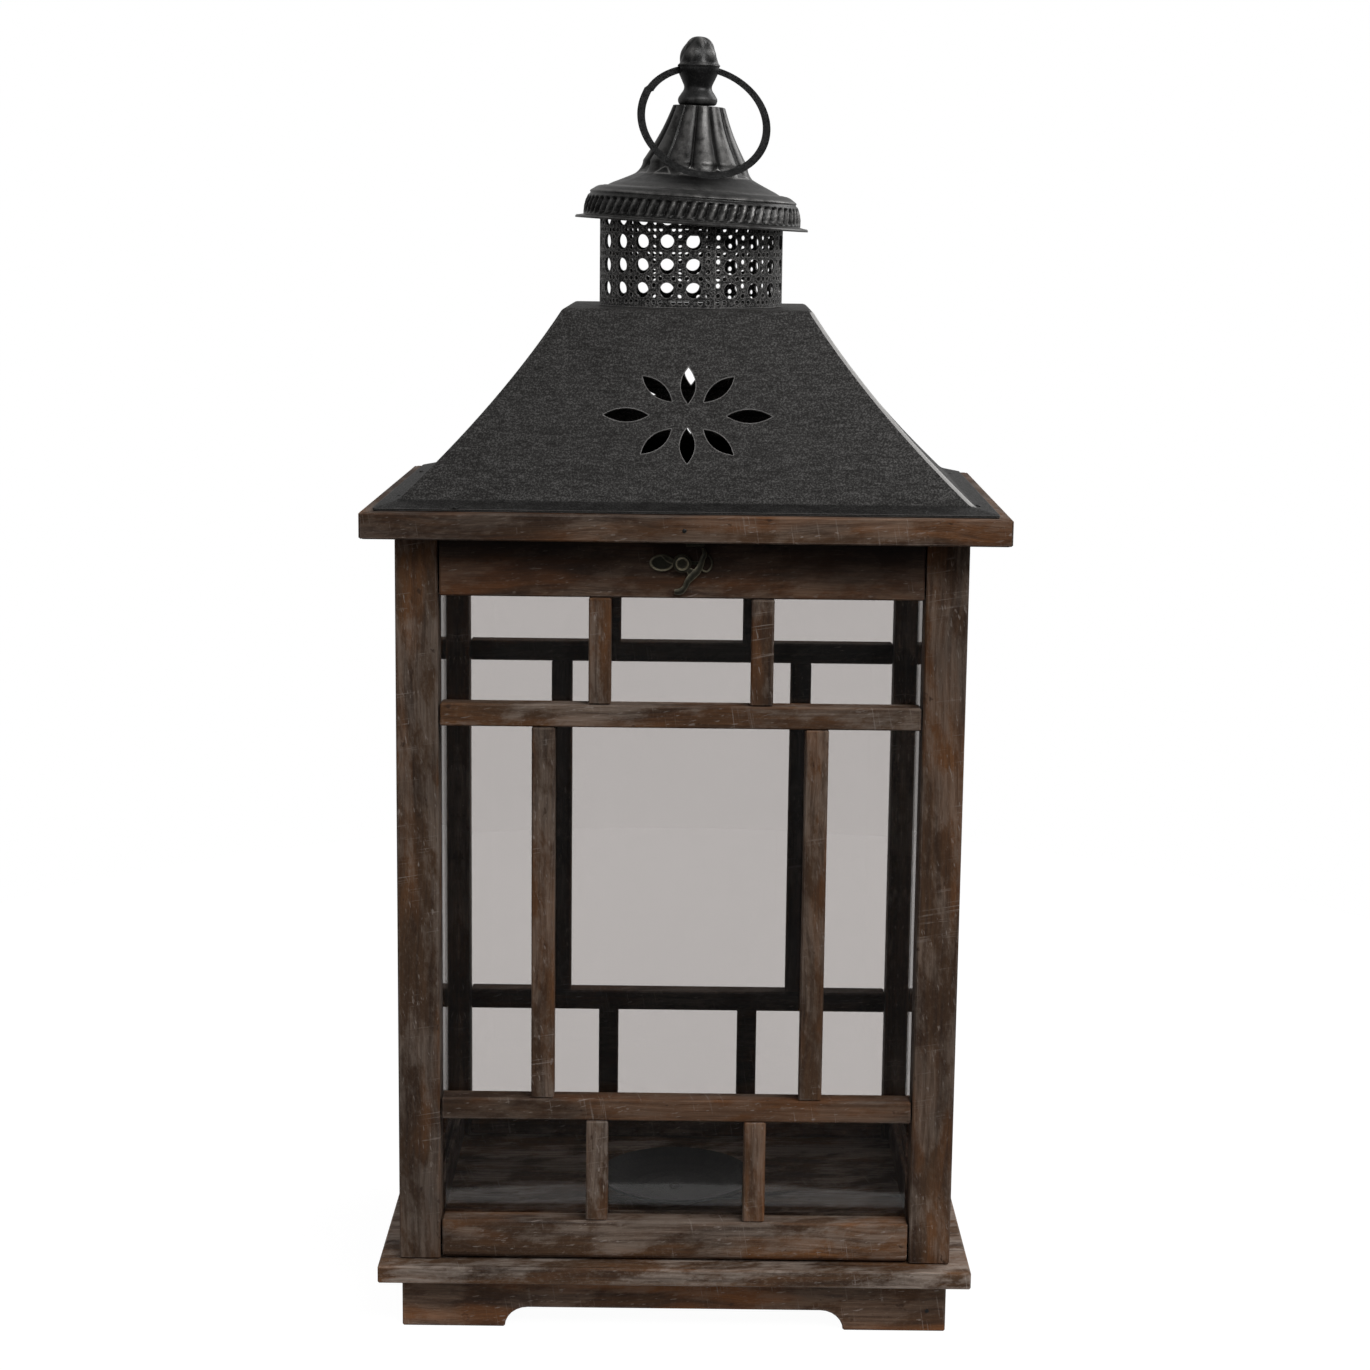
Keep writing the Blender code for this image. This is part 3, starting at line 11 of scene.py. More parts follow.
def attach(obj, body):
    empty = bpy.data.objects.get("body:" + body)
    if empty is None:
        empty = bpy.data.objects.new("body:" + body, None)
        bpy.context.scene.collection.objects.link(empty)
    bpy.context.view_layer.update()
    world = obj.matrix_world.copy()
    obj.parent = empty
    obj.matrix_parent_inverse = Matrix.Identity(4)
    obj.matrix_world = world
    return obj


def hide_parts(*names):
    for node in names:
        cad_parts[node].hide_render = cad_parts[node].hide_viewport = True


bl_info = {
    "name": "Wooden Lantern",
    "version": (1, 0, 0),
    "blender": (4, 5, 0),
    "location": "View3D > Sidebar > Lantern",
    "description": "Finishes a wooden candle lantern and adds its fine metalwork",
    "category": "Add Mesh",
}

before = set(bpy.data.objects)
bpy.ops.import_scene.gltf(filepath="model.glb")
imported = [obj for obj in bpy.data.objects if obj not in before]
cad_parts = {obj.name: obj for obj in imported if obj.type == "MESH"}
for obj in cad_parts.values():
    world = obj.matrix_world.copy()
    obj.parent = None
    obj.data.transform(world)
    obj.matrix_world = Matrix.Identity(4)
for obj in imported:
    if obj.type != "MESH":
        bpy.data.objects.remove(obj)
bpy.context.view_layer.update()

# Levels and turns of the crown, in the same frame as the solids.
CAP_HEIGHT = 0.5212
CAP_LEAN = math.radians(3.15)
FINIAL_LEAN = math.radians(1.0)
FINIAL_SHIFT = -0.0009
FINIAL_RISE = 0.05635
RING_EYE_RISE = 0.0168
RING_TURN = math.radians(12.0)
RING_REST = math.radians(33.1)
FLUTE_MIDDLE = math.radians(10.5)
COLLAR_FOOT = 0.4830
COLLAR_HEAD = 0.53316
COLLAR_SKIN = 0.0440
COLLAR_SHEET = 0.0009
COLUMNS = 21
COLUMN_ANGLE = math.radians(16.82)
FIRST_COLUMN = math.radians(25.3)
SEAM_START = math.radians(9.9)
SEAM_END = math.radians(374.6)
FLANGE_TOP = 0.3943
FLANGE_FOOT = (0.1310, 0.0970)
FLANGE_WIDTH = 0.0105
FLANGE_RISE = 0.0028
HOOD_HEAD = 0.4827
HOOD_PLATE = (0.0580, 0.0500)
HOOD_LEAN = -0.0009
HOOD_HOLLOW = 0.24
HOOD_SHEET = 0.0010
FLUE_RADIUS = 0.0360
FLOWER_LEVEL = 0.4351
FAR_TURN = math.radians(2.4)
ROOF_TURN = math.radians(-0.6)
LATCH_MIDDLE = 0.3700
LATCH_ACROSS = -0.0025
LATCH_FACE = -0.0973
LATCH_SHANK = 0.0013
EAVE_FACE = -0.1131
PLINTH_FACE = -0.0962
FLOOR_BACK = 0.35
FLOOR_RADIUS = 0.62

# The cap's band, the flare above it and the fluted bell, from the cap's own foot.
BAND_RADIUS, BAND_SWELL, BAND_FOOT, BAND_RISE = 0.0435, 0.0088, 0.0036, 0.0126
BEAD_LEVEL = 0.0134
RIDGES_FOOT, RIDGES_HEAD = 0.0024, 0.0112
FLUTES_FOOT, FLUTE_TAIL = 0.0226, 0.0075
# The turn that faces the key light: the cap's rubbed crests are painted brighter on that side as a painted
# highlight.
PAINTED_LIGHT_SIDE = 0.9
FLARE_FOOT, FLARE_RISE = 0.0170, 0.0120
BELL_RADIUS, BELL_TAPER, BELL_FOOT, BELL_RISE = 0.0254, 0.0128, 0.0290, 0.0267

# The hood's folds, the finial's carving and eye, and the ring.
HOOD_FOLD = 0.0016
HOOD_STEPS = 16
CARVING_FOOT = 0.0176
SCALE_ROWS = 5
EYE_RADIUS = 0.0029
EYE_HALF_LENGTH = 0.0095
RING_RADIUS = 0.0302
RING_JOINT = math.radians(146)
RING_GAP = math.radians(0.9)

QUARTER = math.radians(90)
FLOAT, COLOUR, VECTOR = "NodeSocketFloat", "NodeSocketColor", "NodeSocketVector"
SURFACE = (("Color", COLOUR), ("Roughness", FLOAT), ("Height", FLOAT))


def length(label, value, text):
    return bpy.props.FloatProperty(name=label, description=text, default=value, unit="LENGTH")


def colour(label, value, text):
    return bpy.props.FloatVectorProperty(name=label, description=text, subtype="COLOR", default=value)


class LanternSizes(bpy.types.PropertyGroup):
    """Sizes of the fine pieces"""

    rim_ridges: bpy.props.IntProperty(
        name="Rim ridges", description="Slanted ridges round the rim of the cap", default=65, min=12
    )
    ridge_depth: length("Ridge depth", 0.0016, "Depth between two ridges")
    flutes: bpy.props.IntProperty(
        name="Flutes", description="Rounded flutes pressed round the bell", default=12, min=3
    )
    flute_depth: length("Flute depth", 0.0019, "Depth of the groove between two flutes")
    big_hole: length("Big hole", 0.0036, "Radius of the large holes of the chimney")
    small_hole: length("Small hole", 0.00115, "Radius of the small holes of the chimney")
    scale_depth: length("Scale depth", 0.0009, "Depth between the carved scales of the knob")
    ring_wire: length("Ring wire", 0.0019, "Radius of the carrying ring's wire")
    petal_width: length("Petal width", 0.0070, "Width of a petal of the cut flower")
    nail_head: length("Nail head", 0.0014, "Radius of the nail heads")


class LanternColours(bpy.types.PropertyGroup):
    """Colours of the finishes"""

    stain: colour("Stain", (0.028, 0.0125, 0.0055), "Dark stain in the grain")
    timber: colour("Timber", (0.064, 0.033, 0.016), "Stained timber between the grain lines")
    wash: colour("Wash", (0.205, 0.162, 0.132), "Grey white wash rubbed over the timber")
    bare: colour("Bare timber", (0.160, 0.064, 0.020), "Warm timber where the stain is worn")
    roof: colour("Roof sheet", (0.0125, 0.0116, 0.0110), "Dark coat of the roof")
    rubbed: colour("Rubbed metal", (0.42, 0.41, 0.40), "Bright metal on rubbed edges")
    iron: colour("Iron", (0.008, 0.008, 0.008), "Blackened iron of the crown")
    dish: colour("Candle plate", (0.024, 0.025, 0.026), "Matt coat of the candle plate")
    brass: colour("Aged brass", (0.45, 0.40, 0.28), "Rubbed brass of the latch")


class Step:
    """What all steps share: each one makes its pieces from the sizes and the colours"""

    def execute(self, context):
        self.make(context.scene.lantern_sizes, context.scene.lantern_colours)
        return {"FINISHED"}


def fill(tree, node, values):
    """Sets a node's inputs to values, or links them to sockets."""
    for key, value in values.items():
        if isinstance(value, bpy.types.NodeSocket):
            tree.links.new(value, node.inputs[key])
        else:
            node.inputs[key].default_value = value


def add_node(tree, kind, values=None, **settings):
    node = tree.nodes.new(kind)
    for name, value in settings.items():
        setattr(node, name, value)
    fill(tree, node, values or {})
    return node


def add_group(tree, name, values):
    """A node that uses the named shader group; the group is made the first time."""
    group = bpy.data.node_groups.get(name) or GROUP_BUILDERS[name]()
    return add_node(tree, "ShaderNodeGroup", values, node_tree=group).outputs


def add_math(tree, operation, a, b=0.0, clamp=False):
    return add_node(tree, "ShaderNodeMath", {0: a, 1: b}, operation=operation, use_clamp=clamp).outputs[0]


def times(tree, a, b):
    return add_math(tree, "MULTIPLY", a, b)


def plus(tree, a, b, clamp=False):
    return add_math(tree, "ADD", a, b, clamp)


def weighed(tree, a, b, share):
    """The share of a and the rest of b."""
    return plus(tree, times(tree, a, share), times(tree, b, 1 - share))


def start_group(name, inputs, outputs):
    """A shader group with named sockets; gives its tree, its input sockets and its output node."""
    tree = bpy.data.node_groups.new(name, "ShaderNodeTree")
    for label, kind, value in inputs:
        socket = tree.interface.new_socket(label, in_out="INPUT", socket_type=kind)
        if value is not None:
            socket.default_value = value
    for label, kind in outputs:
        tree.interface.new_socket(label, in_out="OUTPUT", socket_type=kind)
    return tree, tree.nodes.new("NodeGroupInput").outputs, tree.nodes.new("NodeGroupOutput")


def noise(tree, vector, scale, detail, roughness):
    """Noise with its own scale along each axis, in features per metre."""
    stretched = add_node(tree, "ShaderNodeVectorMath", {0: vector, 1: scale}, operation="MULTIPLY")
    values = {"Vector": stretched.outputs["Vector"], "Scale": 1.0, "Detail": detail, "Roughness": roughness}
    return add_node(tree, "ShaderNodeTexNoise", values).outputs["Fac"]


def span(tree, value, low, high, out_low=0.0, out_high=1.0):
    """The value's place between low and high, spread over the other two and clamped."""
    values = {"Value": value, "From Min": low, "From Max": high, "To Min": out_low, "To Max": out_high}
    return add_node(tree, "ShaderNodeMapRange", values, clamp=True).outputs["Result"]


def mixed(tree, factor, a, b, blend="MIX"):
    ends = [value if isinstance(value, bpy.types.NodeSocket) else (*value, 1.0) for value in (a, b)]
    values = {0: factor, 6: ends[0], 7: ends[1]}
    return add_node(tree, "ShaderNodeMix", values, data_type="RGBA", blend_type=blend).outputs[2]


def build_edge_group():
    """Mask of a piece's outside edges, broken up by noise."""
    tree, given, out = start_group(
        "worn_edge",
        [("Vector", VECTOR, None), ("Width", FLOAT, 0.001), ("Gain", FLOAT, 4.0), ("Break Up", FLOAT, 0.5)],
        [("Mask", FLOAT)],
    )
    rounded = add_node(tree, "ShaderNodeBevel", {"Radius": given["Width"]}, samples=6)
    plain = add_node(tree, "ShaderNodeNewGeometry")
    normals = {0: rounded.outputs["Normal"], 1: plain.outputs["Normal"]}
    match = add_node(tree, "ShaderNodeVectorMath", normals, operation="DOT_PRODUCT").outputs["Value"]
    strong = times(tree, add_math(tree, "SUBTRACT", 1.0, match, True), given["Gain"])
    patchy = noise(tree, given["Vector"], (150, 150, 150), 4.0, 0.65)
    kept = span(tree, patchy, 0.38, 0.62)
    full = add_math(tree, "SUBTRACT", 1.0, given["Break Up"])
    share = plus(tree, full, times(tree, kept, given["Break Up"]), True)
    limited = add_math(tree, "MINIMUM", strong, 1.0)
    fill(tree, out, {"Mask": times(tree, limited, share)})
    return tree


def build_timber_group():
    """Stained and washed timber whose grain runs along the vector's X."""
    tree, given, out = start_group(
        "washed_timber",
        [
            ("Vector", VECTOR, None),
            ("Stain", COLOUR, None),
            ("Timber", COLOUR, None),
            ("Wash", COLOUR, None),
            ("Bare", COLOUR, None),
            ("Wash Amount", FLOAT, 0.5),
            ("Bare Amount", FLOAT, 0.5),
            ("Edge Amount", FLOAT, 0.5),
            ("Soot", FLOAT, 0.0),
        ],
        SURFACE,
    )
    vector = given["Vector"]
    slow = {"Vector": vector, "Scale": 14.0, "Detail": 1.0, "Roughness": 0.4}
    waver = {0: add_node(tree, "ShaderNodeTexNoise", slow).outputs["Color"], 1: (0.0, 0.010, 0.010)}
    shift = add_node(tree, "ShaderNodeVectorMath", waver, operation="MULTIPLY").outputs["Vector"]
    bent = add_node(tree, "ShaderNodeVectorMath", {0: vector, 1: shift}, operation="ADD").outputs["Vector"]
    slant = {"Vector": vector, "Rotation": (0.0, 0.16, -0.21)}
    askew = add_node(tree, "ShaderNodeMapping", slant).outputs["Vector"]
    rings = noise(tree, bent, (4, 150, 150), 3.0, 0.5)
    lines = noise(tree, bent, (14, 520, 520), 5.0, 0.62)
    fibre = noise(tree, bent, (70, 2100, 2100), 2.0, 0.6)
    broad = noise(tree, bent, (9, 60, 60), 3.0, 0.55)
    tone = noise(tree, vector, (9, 20, 20), 3.0, 0.6)
    patch = noise(tree, askew, (22, 62, 62), 6.0, 0.66)
    dust = noise(tree, vector, (420, 700, 700), 4.0, 0.75)
    chip = noise(tree, vector, (110, 190, 190), 3.0, 0.7)
    scratch = noise(tree, askew, (16, 900, 900), 2.0, 0.55)
    saw = noise(tree, askew, (950, 26, 26), 3.0, 0.6)
    worn = noise(tree, vector, (30, 45, 45), 4.0, 0.7)
    grain = weighed(tree, rings, lines, 0.5)
    body = mixed(tree, span(tree, grain, 0.58, 0.40), given["Timber"], given["Stain"])
    bare_mask = times(tree, span(tree, broad, 0.47, 0.60), span(tree, lines, 0.30, 0.55, 0.45, 1.0))
    body = mixed(tree, times(tree, bare_mask, given["Bare Amount"]), body, given["Bare"])
    film = times(tree, span(tree, patch, 0.46, 0.56), span(tree, lines, 0.36, 0.60, 0.30, 1.0))
    film = plus(tree, film, times(tree, span(tree, dust, 0.50, 0.66), 0.25), True)
    body = mixed(tree, times(tree, film, given["Wash Amount"]), body, given["Wash"])
    edge = add_group(tree, "worn_edge", {"Vector": vector, "Width": 0.0011, "Gain": 8.0, "Break Up": 0.75})
    pale = mixed(tree, 0.5, given["Wash"], (0.36, 0.31, 0.28))
    rub = mixed(tree, span(tree, broad, 0.46, 0.54), pale, given["Bare"])
    body = mixed(tree, times(tree, edge["Mask"], given["Edge Amount"]), body, rub)
    marks = times(tree, span(tree, saw, 0.60, 0.68), span(tree, worn, 0.50, 0.62, 0.0, 0.55))
    body = mixed(tree, marks, body, pale)
    rubs = times(tree, span(tree, scratch, 0.64, 0.72), span(tree, worn, 0.38, 0.56, 0.12, 0.65))
    body = mixed(tree, rubs, body, pale)
    body = mixed(tree, times(tree, span(tree, dust, 0.66, 0.74), 0.20), body, pale)
    body = mixed(tree, times(tree, span(tree, chip, 0.66, 0.72), 0.75), body, given["Stain"])
    body = mixed(tree, 1.0, body, span(tree, fibre, 0.34, 0.66, 0.82, 1.14), "MULTIPLY")
    body = mixed(tree, 1.0, body, span(tree, tone, 0.34, 0.66, 0.70, 1.28), "MULTIPLY")
    # Darkens the upper part of the rail towards dark brown: painted eave shadow over a darker stain.
    soot = times(tree, given["Soot"], span(tree, patch, 0.40, 0.66, 1.0, 0.72))
    body = mixed(tree, soot, body, (0.010, 0.0045, 0.0035))
    roughness = span(tree, grain, 0.35, 0.65, 0.66, 0.84)
    fill(tree, out, {"Color": body, "Roughness": roughness, "Height": weighed(tree, grain, fibre, 0.6)})
    return tree


def build_sheet_group():
    """Dark coated sheet metal with a powdery speckle and faint level streaks, rubbed bright on its edges."""
    tree, given, out = start_group(
        "brushed_sheet",
        [
            ("Vector", VECTOR, None),
            ("Coat", COLOUR, None),
            ("Rubbed", COLOUR, None),
            ("Streaks", FLOAT, 0.5),
            ("Speckle", FLOAT, 0.5),
            ("Edge Width", FLOAT, 0.0008),
            ("Edge Amount", FLOAT, 0.8),
        ],
        SURFACE,
    )
    vector = given["Vector"]
    streak = noise(tree, vector, (110, 110, 700), 4.0, 0.65)
    cloud = noise(tree, vector, (18, 18, 45), 4.0, 0.6)
    speck = noise(tree, vector, (1150, 1150, 1300), 2.0, 0.8)
    brushed = times(tree, span(tree, streak, 0.38, 0.66), given["Streaks"])
    lift = plus(tree, brushed, times(tree, span(tree, cloud, 0.36, 0.68), 0.16))
    grit = times(tree, span(tree, speck, 0.46, 0.66), given["Speckle"])
    grit = times(tree, grit, span(tree, streak, 0.38, 0.60, 0.55, 1.0))
    mask = plus(tree, times(tree, lift, 0.04), times(tree, grit, 0.30), True)
    body = mixed(tree, mask, given["Coat"], given["Rubbed"])
    width = given["Edge Width"]
    edge = add_group(tree, "worn_edge", {"Vector": vector, "Width": width, "Gain": 9.0, "Break Up": 0.35})
    worn = times(tree, edge["Mask"], given["Edge Amount"])
    body = mixed(tree, worn, body, given["Rubbed"])
    roughness = span(tree, speck, 0.4, 0.65, 0.66, 0.46)
    fill(tree, out, {"Color": body, "Roughness": roughness, "Height": weighed(tree, streak, speck, 0.4)})
    return tree


GROUP_BUILDERS = {
    "worn_edge": build_edge_group,
    "washed_timber": build_timber_group,
    "brushed_sheet": build_sheet_group,
}


def start_material(name, **settings):
    """A material with a Principled shader; gives it, its tree and the shader."""
    material = bpy.data.materials.new(name)
    material.use_nodes = True
    tree = material.node_tree
    shader = tree.nodes["Principled BSDF"]
    for label, value in settings.items():
        shader.inputs[label.replace("_", " ")].default_value = value
    return material, tree, shader


def placed_vector(tree, turn=(0, 0, 0), shift=(0, 0, 0)):
    placed = add_node(tree, "ShaderNodeTexCoord").outputs["Object"]
    values = {"Vector": placed, "Location": shift, "Rotation": turn}
    return add_node(tree, "ShaderNodeMapping", values).outputs["Vector"]


def dress(tree, shader, colour, roughness, height, strength, distance):
    """Gives the shader its colour, its roughness and a relief."""
    relief = {"Height": height, "Strength": strength, "Distance": distance}
    normal = add_node(tree, "ShaderNodeBump", relief).outputs["Normal"]
    fill(tree, shader, {"Base Color": colour, "Roughness": roughness, "Normal": normal})


def timber_material(name, colours, grain, seed, tone, warm, wash, bare, soot=None):
    """Timber whose grain runs along x, y or z, shifted by its seed so that no two boards match."""
    material, tree, shader = start_material(name, Metallic=0.0, Specular_IOR_Level=0.3)
    turn = {"x": (0, 0, 0), "y": (0, 0, QUARTER), "z": (0, QUARTER, 0)}[grain]
    shift = (1.37 * seed, 0.731 * seed, 2.113 * seed)
    tint = (tone * warm, tone, tone / warm)
    values = {"Wash Amount": wash, "Bare Amount": bare, "Edge Amount": 0.6}
    values["Vector"] = placed_vector(tree, turn, shift)
    for label in ("Stain", "Timber", "Wash", "Bare"):
        values[label] = (*(c * t for c, t in zip(getattr(colours, label.lower()), tint)), 1)
    # The rail's upper part, just under the eave, is darkened: painted eave shadow over a darker stain.
    if soot:
        plain = placed_vector(tree)
        level = add_node(tree, "ShaderNodeSeparateXYZ", {0: plain}).outputs["Z"]
        ragged = noise(tree, plain, (45, 45, 420), 4.0, 0.7)
        level = plus(tree, level, times(tree, ragged, 0.012))
        values["Soot"] = times(tree, span(tree, level, *soot[:2]), soot[2])
    group = add_group(tree, "washed_timber", values)
    dress(tree, shader, group["Color"], group["Roughness"], group["Height"], 0.6, 0.0007)
    return material


def sheet_material(name, coat, rubbed, metallic, streaks, speckle, edge, relief=0.25, gloss=0.5):
    """Dark sheet; edge is the width of its rubbed edges and how much they show."""
    material, tree, shader = start_material(name, Metallic=metallic, Specular_IOR_Level=gloss)
    values = {"Vector": placed_vector(tree), "Coat": (*coat, 1), "Rubbed": (*rubbed, 1)}
    values |= {"Streaks": streaks, "Speckle": speckle, "Edge Width": edge[0], "Edge Amount": edge[1]}
    group = add_group(tree, "brushed_sheet", values)
    # Where the piece's shade attribute is set, the colour goes towards near black: painted shade inside the hood
    # and on its flange.
    inside = add_node(tree, "ShaderNodeAttribute", attribute_name="inside").outputs["Fac"]
    colour = mixed(tree, inside, group["Color"], (0.002, 0.002, 0.002))
    dress(tree, shader, colour, group["Roughness"], group["Height"], relief, 0.0003)
    return material


def crest_material(name, coat, rubbed, metallic, roughness, relief=0.3, gloss=0.5):
    """Blackened iron that is rubbed where the piece's own crest attribute says that it stands proud; on the cap
    the crest also holds a painted highlight towards the key light.
    """
    material, tree, shader = start_material(name, Metallic=metallic, Specular_IOR_Level=gloss)
    vector = placed_vector(tree)
    crest = add_node(tree, "ShaderNodeAttribute", attribute_name="crest").outputs["Fac"]
    patch = noise(tree, vector, (170, 170, 170), 4.0, 0.7)
    grit = noise(tree, vector, (1300, 1300, 1300), 2.0, 0.6)
    mask = times(tree, crest, span(tree, patch, 0.36, 0.64, 0.2, 1.0))
    mask = plus(tree, mask, times(tree, span(tree, grit, 0.50, 0.72), 0.05), True)
    edge = add_group(tree, "worn_edge", {"Vector": vector, "Width": 0.0007, "Gain": 3.0})
    mask = plus(tree, mask, times(tree, edge["Mask"], 0.35), True)
    colour = mixed(tree, mask, coat, rubbed)
    shine = span(tree, patch, 0.3, 0.7, roughness - 0.08, roughness + 0.10)
    dress(tree, shader, colour, shine, weighed(tree, patch, grit, 0.5), relief, 0.0003)
    return material


def brighter(colour, factor):
    return [factor * c for c in colour]


def finish_node(name, material):
    """Gives a carried over solid its material."""
    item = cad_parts[name]
    item.data.materials.clear()
    item.data.materials.append(material)


def add_object(name, data):
    item = bpy.data.objects.new(name, data)
    bpy.context.scene.collection.objects.link(item)
    return item


def mesh_object(name, bm):
    mesh = bpy.data.meshes.new(name)
    bm.to_mesh(mesh)
    bm.free()
    return add_object(name, mesh)


def new_piece(name, bm, body, material, smooth=35.0, stands_for=()):
    """A finished piece from a bmesh that is already in its place."""
    item = mesh_object(name, bm)
    item.data.materials.append(material)
    item.data.shade_smooth()
    item.data.set_sharp_from_angle(angle=math.radians(smooth))
    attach(item, body)
    if stands_for:
        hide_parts(*stands_for)
    return item


def draw_in(vert, radius, depth):
    """Moves a vertex towards the Z axis by a depth."""
    vert.co.x *= 1 - depth / radius
    vert.co.y *= 1 - depth / radius


def verts_of(geometry):
    return [v for v in geometry if isinstance(v, BMVert)]


def edges_of(geometry):
    return [e for e in geometry if isinstance(e, BMEdge)]


def edges_round(made):
    return list({e for v in made["verts"] for e in v.link_edges})


def face_out(bm):
    bmesh.ops.recalc_face_normals(bm, faces=bm.faces)


def place_all(bm, matrix):
    bmesh.ops.transform(bm, matrix=matrix, verts=bm.verts)


def add_drum(bm, radius, depth, segments, matrix):
    """A closed cylinder along Z where the matrix puts it."""
    size = {"radius1": radius, "radius2": radius, "depth": depth}
    bmesh.ops.create_cone(bm, cap_ends=True, segments=segments, matrix=matrix, **size)


def peak(value, middle, width):
    """A soft bump of height 1 about the middle."""
    return math.exp(-(((value - middle) / width) ** 2))


def lathe(profile, steps):
    """Spins a profile of (radius, height) points about Z and closes its poles."""
    bm = bmesh.new()
    points = [bm.verts.new((r, 0, z)) for r, z in profile]
    edges = [bm.edges.new(pair) for pair in zip(points, points[1:])]
    geometry = points + edges
    full = 2 * math.pi
    bmesh.ops.spin(bm, geom=geometry, cent=(0, 0, 0), axis=(0, 0, 1), angle=full, steps=steps, use_merge=True)
    bmesh.ops.remove_doubles(bm, verts=bm.verts, dist=1e-6)
    face_out(bm)
    return bm


def ease(value, low, high):
    share = max(0.0, min(1.0, (value - low) / (high - low)))
    return share * share * (3 - 2 * share)


def blend_points(points, steps):
    """More points along a profile, on a smooth curve through the given ones."""
    made = []
    for i in range(len(points) - 1):
        a, b = Vector(points[i]), Vector(points[i + 1])
        before, after = Vector(points[max(i - 1, 0)]), Vector(points[min(i + 2, len(points) - 1)])
        slope, bend = b - before, 2 * before - 5 * a + 4 * b - after
        turn = 3 * a - before - 3 * b + after
        for t in (k / steps for k in range(steps)):
            made.append(tuple(a + 0.5 * (slope * t + bend * t * t + turn * t * t * t)))
    made.append(tuple(points[-1]))
    return made


def cap_matrix():
    return Matrix.Translation((0, 0, CAP_HEIGHT)) @ Matrix.Rotation(CAP_LEAN, 4, "Y")


def finial_matrix():
    shift = Matrix.Translation((FINIAL_SHIFT, 0, FINIAL_RISE))
    return cap_matrix() @ shift @ Matrix.Rotation(FINIAL_LEAN - CAP_LEAN, 4, "Y")


def eye_matrix():
    """The middle of the finial's eye, X along the axis that the ring turns about."""
    return finial_matrix() @ Matrix.Translation((0, 0, RING_EYE_RISE)) @ Matrix.Rotation(RING_TURN, 4, "Z")


# The way the grain runs, its seed, tone, warmth, wash and bare timber.
WOOD_PIECES = {
    "post_front_left": ("z", 1, 1.00, 1.00, 0.55, 0.55),
    "post_front_right": ("z", 2, 1.02, 1.03, 0.50, 0.55),
    "post_back_left": ("z", 3, 0.95, 1.00, 0.50, 0.40),
    "post_back_right": ("z", 4, 0.95, 1.00, 0.50, 0.40),
    "eave_front": ("x", 5, 0.95, 1.05, 0.42, 0.65),
    "eave_back": ("x", 6, 1.00, 1.00, 0.50, 0.50),
    "eave_left": ("y", 7, 1.00, 1.00, 0.50, 0.50),
    "eave_right": ("y", 8, 1.00, 1.00, 0.50, 0.50),
    # The base board's paler tone and heavy wash are its washed finish and partly painted light, lifting the
    # floor seen inside the panes.
    "base_board": ("x", 9, 1.35, 0.98, 0.95, 0.35),
    "plinth_front": ("x", 10, 1.10, 1.10, 0.34, 0.70),
    "plinth_back": ("x", 11, 0.90, 1.00, 0.50, 0.40),
    "plinth_left": ("y", 12, 0.90, 1.00, 0.50, 0.40),
    "plinth_right": ("y", 13, 0.90, 1.00, 0.50, 0.40),
    "door_bottom_rail": ("x", 14, 1.05, 1.00, 0.60, 0.70),
    "door_top_rail": ("x", 15, 0.78, 1.12, 0.45, 0.60),
    "door_lower_mid_rail": ("x", 16, 0.78, 1.05, 0.38, 0.75),
    "door_upper_mid_rail": ("x", 17, 1.05, 1.00, 0.65, 0.45),
    "door_long_bar_left": ("z", 18, 0.86, 1.02, 0.55, 0.40),
    "door_long_bar_right": ("z", 19, 1.02, 1.04, 0.50, 0.70),
    "door_top_short_bar_left": ("z", 20, 1.22, 1.00, 0.68, 0.55),
    "door_top_short_bar_right": ("z", 21, 1.12, 1.02, 0.50, 0.60),
    "door_bottom_short_bar_left": ("z", 22, 1.05, 1.00, 0.60, 0.40),
    "door_bottom_short_bar_right": ("z", 23, 1.20, 1.04, 0.50, 0.70),
}


class LANTERN_OT_woodwork(Step, bpy.types.Operator):
    """Gives every board, rail and bar its own stained and washed timber"""

    bl_idname = "lantern.woodwork"
    bl_label = "Finish the woodwork"

    def make(self, sizes, colours):
        wood = dict(WOOD_PIECES)
        seed = 30
        for name in sorted(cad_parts):
            if name.split("_")[0] not in ("back", "left", "right") or name.endswith("glass"):
                continue
            along = "z" if "bar" in name else ("x" if name.startswith("back") else "y")
            wood[name] = (along, seed, 0.92, 1.0, 0.55, 0.45)
            seed += 1
        for name, values in wood.items():
            # The top rail's darker upper part is painted eave shadow over a darker stain.
            soot = (0.360, 0.384, 0.90) if name == "door_top_rail" else None
            finish_node(name, timber_material("timber_" + name, colours, *values, soot=soot))


class LANTERN_OT_glazing(Step, bpy.types.Operator):
    """Gives the four panes their slightly dusty glass"""

    bl_idname = "lantern.glazing"
    bl_label = "Finish the panes"

    def make(self, sizes, colours):
        clear = {"Transmission_Weight": 1.0, "IOR": 1.45, "Specular_IOR_Level": 0.5}
        material, tree, shader = start_material("dusty_pane", Metallic=0.0, Roughness=0.0, **clear)
        film = noise(tree, placed_vector(tree), (9, 9, 6), 2.0, 0.5)
        colour = mixed(tree, span(tree, film, 0.3, 0.7), (0.705, 0.684, 0.674), (0.691, 0.670, 0.660))
        tree.links.new(colour, shader.inputs["Base Color"])
        for name in ("door_glass", "back_glass", "left_glass", "right_glass"):
            finish_node(name, material)


# Where each petal starts and ends from the flower's middle, and its turn in degrees.
PETALS = (
    *((0.0178, 0.0390, turn) for turn in (0, 180)),
    *((0.0058, 0.0246, turn) for turn in (90, -90)),
    *((0.0100, 0.0290, turn) for turn in (43, 137, 223, -43)),
)


